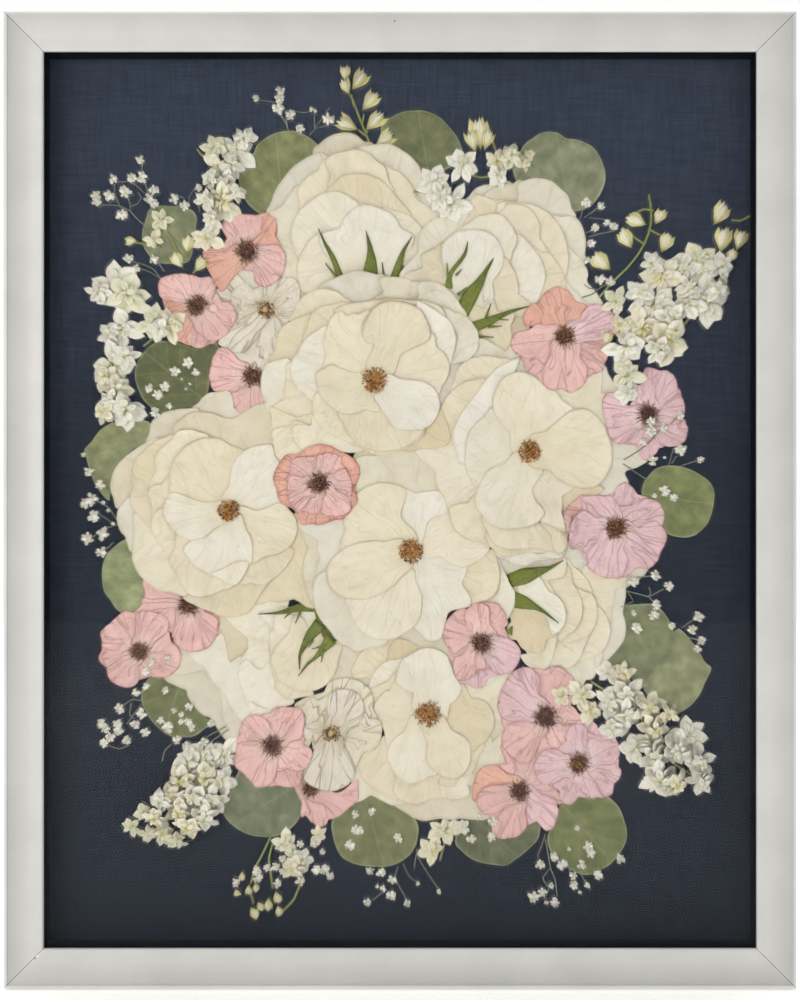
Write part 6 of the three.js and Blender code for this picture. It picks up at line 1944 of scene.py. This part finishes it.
def painted_shade_in_the_hollow(material):
    """Painted light and shade: the paint is brighter on the flat by the opening, darker in the moulding's
    hollow, and has a painted highlight on the outer bead.
    """
    tree = material.node_tree
    surface = tree.nodes["Principled BSDF"]
    painted = surface.inputs["Base Color"].links[0].from_socket
    here = add(tree, "ShaderNodeTexCoord").outputs["Object"]
    place = add(tree, "ShaderNodeSeparateXYZ", {"Vector": here})
    up = add(tree, "ShaderNodeMath", {0: place.outputs["Z"], 1: -FRAME_MIDDLE * METRES}, operation="ADD")
    beyond = []
    for from_middle, half in ((place.outputs["X"], OPENING_HALF_WIDTH),
                              (up.outputs["Value"], OPENING_HALF_HEIGHT)):
        outwards = add(tree, "ShaderNodeMath", {0: from_middle}, operation="ABSOLUTE")
        beyond.append(add(tree, "ShaderNodeMath", {0: outwards.outputs["Value"], 1: half * METRES},
                          operation="SUBTRACT").outputs["Value"])
    farther = add(tree, "ShaderNodeMath", {0: beyond[0], 1: beyond[1]}, operation="MAXIMUM")
    share = add(tree, "ShaderNodeMath", {0: farther.outputs["Value"], 1: RAIL_WIDTH * METRES},
                operation="DIVIDE")
    # Painted highlight by the opening, painted shade in the hollow, painted highlight on the outer bead.
    tone = stops(add(tree, "ShaderNodeValToRGB", {"Fac": share.outputs["Value"]}),
                 (0.0, 1.08), (0.3, 1.06), (0.86, 0.85), (0.93, 1.15))
    painted_hollow_shade = add(tree, "ShaderNodeMix", {"Factor": 1.0, "A": painted, "B": tone}, **MULTIPLY)
    tree.links.new(painted_hollow_shade.outputs["Result"], surface.inputs["Base Color"])


# A rose petal dries to smooth parchment, with hardly a vein and a few pale brown creases.
rose_skin = dried_petal("dried_rose_petal", vein_strength=0.05, crinkle=0.3, roughness=0.62,
                        crease="#A8946C", crease_strength=0.12, rim_creases=0.4)
# The small white flowers crumple more, and brown along their folds.
white_skin = dried_petal("dried_white_petal", vein_strength=0.14, crinkle=0.7, roughness=0.66,
                         crease="#8A6238", crease_strength=0.6, rim_creases=0.25,
                         vein_scale=5.0, speck=0.2)
# A pink petal dries thin and dull, and its colour gathers in the folds.
pink_skin = dried_petal("dried_pink_petal", vein_strength=0.12, crinkle=0.75, roughness=0.7,
                        crease="#8E5452", crease_strength=0.4, rim_creases=0.5,
                        vein_scale=5.0, speck=0.2)
# Larkspur stays pale and papery, with a little green in its creases.
floret_skin = dried_petal("dried_larkspur_petal", vein_strength=0.05, crinkle=0.4, roughness=0.66,
                          crease="#A6A878", crease_strength=0.25, rim_creases=0.4, vein_scale=4.0)
leaf_skin = dried_eucalyptus()
green_skin = dry_bits("dried_sepal_and_stem", 0.6, STEM_SKIN)
stamen_skin = dry_bits("dried_anther", 0.7, ANTHER_SKIN)
puff_skin = dry_bits("dried_babys_breath", 0.75, PUFF_SKIN)

# White paint on wood, brushed on and rubbed down: almost even, with a soft sheen.
white_paint = plain_finish("satin_white_paint", "#C3C3C0", "#C9C9C6", BRUSH_MARKS, roughness=0.38,
                           relief_strength=0.08)
# Painted shade in the moulding's hollow and painted highlights on its flat and its bead.
painted_shade_in_the_hollow(white_paint)
# A chip at the lower left corner, with a pale edge that is a painted highlight, and a dark speck on the top
# rail.
wear_and_highlight_mark(white_paint, "#77736A", reach=0.7, place=(-200.7, -509.9), lengthened=2.6)
# Painted highlight along the chip's pale edge.
wear_and_highlight_mark(white_paint, "#F7F6F3", reach=0.6, place=(-200.3, -509.5), lengthened=2.4)
wear_and_highlight_mark(white_paint, "#4E4A44", reach=0.45, place=(-3, 6.2))
# Dark cloth glued over board: fibrous, and so dull that it gives back hardly any light; its near-black
# colour is partly painted shade, so that the walls of the recess read as shadow.
dark_cloth_and_shade = plain_finish("dark_spacer_cloth_and_shade", "#05070D", "#0B101A", CLOTH_FIBRES, roughness=0.95,
                          relief_strength=0.5, specular=0.06)
# Hardboard is pressed fibre: brown, flecked and dull.
hardboard = plain_finish("raw_hardboard", "#6E5236", "#9A7850", HARDBOARD_FLECKS, roughness=0.8,
                         relief_strength=0.4)
# Zinc plate on steel strip, rolled lengthwise.
zinc_plate = plain_finish("zinc_plated_steel", "#AEB2B6", "#C9CCD0", ZINC_GRAIN, roughness=0.38,
                          relief_strength=0.15, metallic=1.0, stretch=(0.1, 1, 1))

# ---------------------------------------------------------------- the frame's own nodes

# A node takes the finish whose word its name starts with.
NODE_FINISHES = {
    "rail": white_paint,
    "spacer": dark_cloth_and_shade,
    "glass_pane": clear_glass(),
    "linen_panel": navy_linen(),
    "back_board": hardboard,
    "sawtooth_hanger": zinc_plate,
}

for node_name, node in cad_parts.items():
    for start, skin in NODE_FINISHES.items():
        if node_name.startswith(start):
            node.data.materials.clear()
            node.data.materials.append(skin)

# ---------------------------------------------------------------- laying, curling and building

laid = {}
for number, name in enumerate(LAYING_ORDER):
    laid[name] = layers_of(name, np.random.default_rng(FIRST_SEED + number))

# Gaps are closed by growing the lower petal on under the upper one: in drawing units, the widest
# gap that is closed between a flower's own petals, and between its lowest third and the next flower.
GAPS_TO_CLOSE = ((ROSES, 14, 26), (WHITE_FLOWERS, 12, 16), (PINK_FLOWERS, 10, 10))

above = np.zeros((DRAWING_ROWS, DRAWING_COLUMNS), dtype=bool)
for name, (sheets, grains) in reversed(laid.items()):
    for kinds, own_gap, next_gap in GAPS_TO_CLOSE:
        if name in kinds:
            own = np.zeros_like(above)
            for item in (*grains, *reversed(sheets)):
                if isinstance(item, Petal) and item.grows:
                    item.tuck(own, own_gap)
                item.cover(own)
            lowest_third = sheets[: len(sheets) // 3]
            for petal in lowest_third:
                petal.tuck(above, next_gap)
                petal.cover(own)
            above |= own

upwards = [item for sheets, grains in laid.values() for item in (*sheets, *grains)]
for item in upwards:
    item.settle()
for item in reversed(upwards):
    item.lift()

# Each kind's skin, the skin of its small grains, and the slot that its colour belongs to.
SKINS = (
    (ROSES, rose_skin, stamen_skin, "cream_petal"),
    (WHITE_FLOWERS, white_skin, stamen_skin, "cream_petal"),
    (PINK_FLOWERS, pink_skin, stamen_skin, "pink_petal"),
    (LEAVES, leaf_skin, stamen_skin, "green_leaf"),
    (LARKSPUR, floret_skin, stamen_skin, "white_floret"),
    (BABYS_BREATH, floret_skin, puff_skin, "white_floret"),
)

for name, (sheets, grains) in laid.items():
    for kinds, sheet_skin, grain_skin, slot in SKINS:
        if name in kinds:
            piece = pressed_piece(name, sheets, grains, sheet_skin, green_skin, grain_skin)
            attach(piece, "root")
            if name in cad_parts:
                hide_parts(name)

# ---------------------------------------------------------------- floor, light and camera

deselect_all()
bpy.ops.mesh.primitive_plane_add(size=FLOOR_SIZE * METRES,
                                 location=(0, 0, (FRAME_BOTTOM - FLOOR_GAP) * METRES))
floor = bpy.context.object
floor.name = "floor"
pale_floor = plain_finish("pale_floor", "#F6F6F4", "#FAFAF9", FLOOR_UNEVENNESS, roughness=0.8,
                          relief_strength=0.02)
# The floor gives off a little light, so that it stays near white behind the frame.
floor_surface = pale_floor.node_tree.nodes["Principled BSDF"]
floor_surface.inputs["Emission Color"].default_value = (1, 1, 1, 1)
floor_surface.inputs["Emission Strength"].default_value = FLOOR_GLOW
floor.data.materials.append(pale_floor)


# A soft lamp like a window, aimed at the middle of the frame.
light = bpy.data.lights.new("window_light", "AREA")
light.shape = "DISK"
light.color = linear("#FFF8EE")
light.size = LAMP_SIZE * METRES
light.energy = LAMP_POWER
lamp = bpy.data.objects.new("window_light", light)
bpy.context.collection.objects.link(lamp)
lamp.location = np.array(LAMP_PLACE) * METRES
aim = (np.array((0, 0, FRAME_MIDDLE)) - LAMP_PLACE) * METRES
lamp.rotation_euler = (math.atan2(math.hypot(aim[0], aim[1]), -aim[2]), 0, math.atan2(-aim[0], aim[1]))

# A white sky, weak in front of the frame so that the glass mirrors little of it.
world = bpy.data.worlds.new("studio")
world.use_nodes = True
sky = world.node_tree
toward = add(sky, "ShaderNodeTexCoord").outputs["Generated"]
parts = add(sky, "ShaderNodeSeparateXYZ", {"Vector": toward})
behind = add(sky, "ShaderNodeMapRange", {"Value": parts.outputs["Y"], "From Min": -0.5, "From Max": 0.5,
                                         "To Min": SKY_IN_FRONT, "To Max": SKY_BEHIND})
overhead = add(sky, "ShaderNodeMapRange", {"Value": parts.outputs["Z"], "From Min": 0.5, "From Max": 1.0,
                                           "To Min": 0.0, "To Max": SKY_OVERHEAD})
strength = add(sky, "ShaderNodeMath", {0: behind.outputs["Result"], 1: overhead.outputs["Result"]},
               operation="ADD")
background = sky.nodes["Background"]
background.inputs["Color"].default_value = (1, 1, 1, 1)
sky.links.new(strength.outputs["Value"], background.inputs["Strength"])
bpy.context.scene.world = world
bpy.context.scene.view_settings.view_transform = "Standard"

camera_lens = bpy.data.cameras.new("camera")
camera_lens.sensor_width = 36
camera_lens.lens = CAMERA_LENS
camera = bpy.data.objects.new("camera", camera_lens)
camera.location = (0, -(SIGHT_PLANE + CAMERA_DISTANCE) * METRES, FRAME_MIDDLE * METRES)
camera.rotation_euler = (math.pi / 2, 0, 0)
bpy.context.collection.objects.link(camera)
bpy.context.scene.camera = camera

bpy.context.view_layer.update()
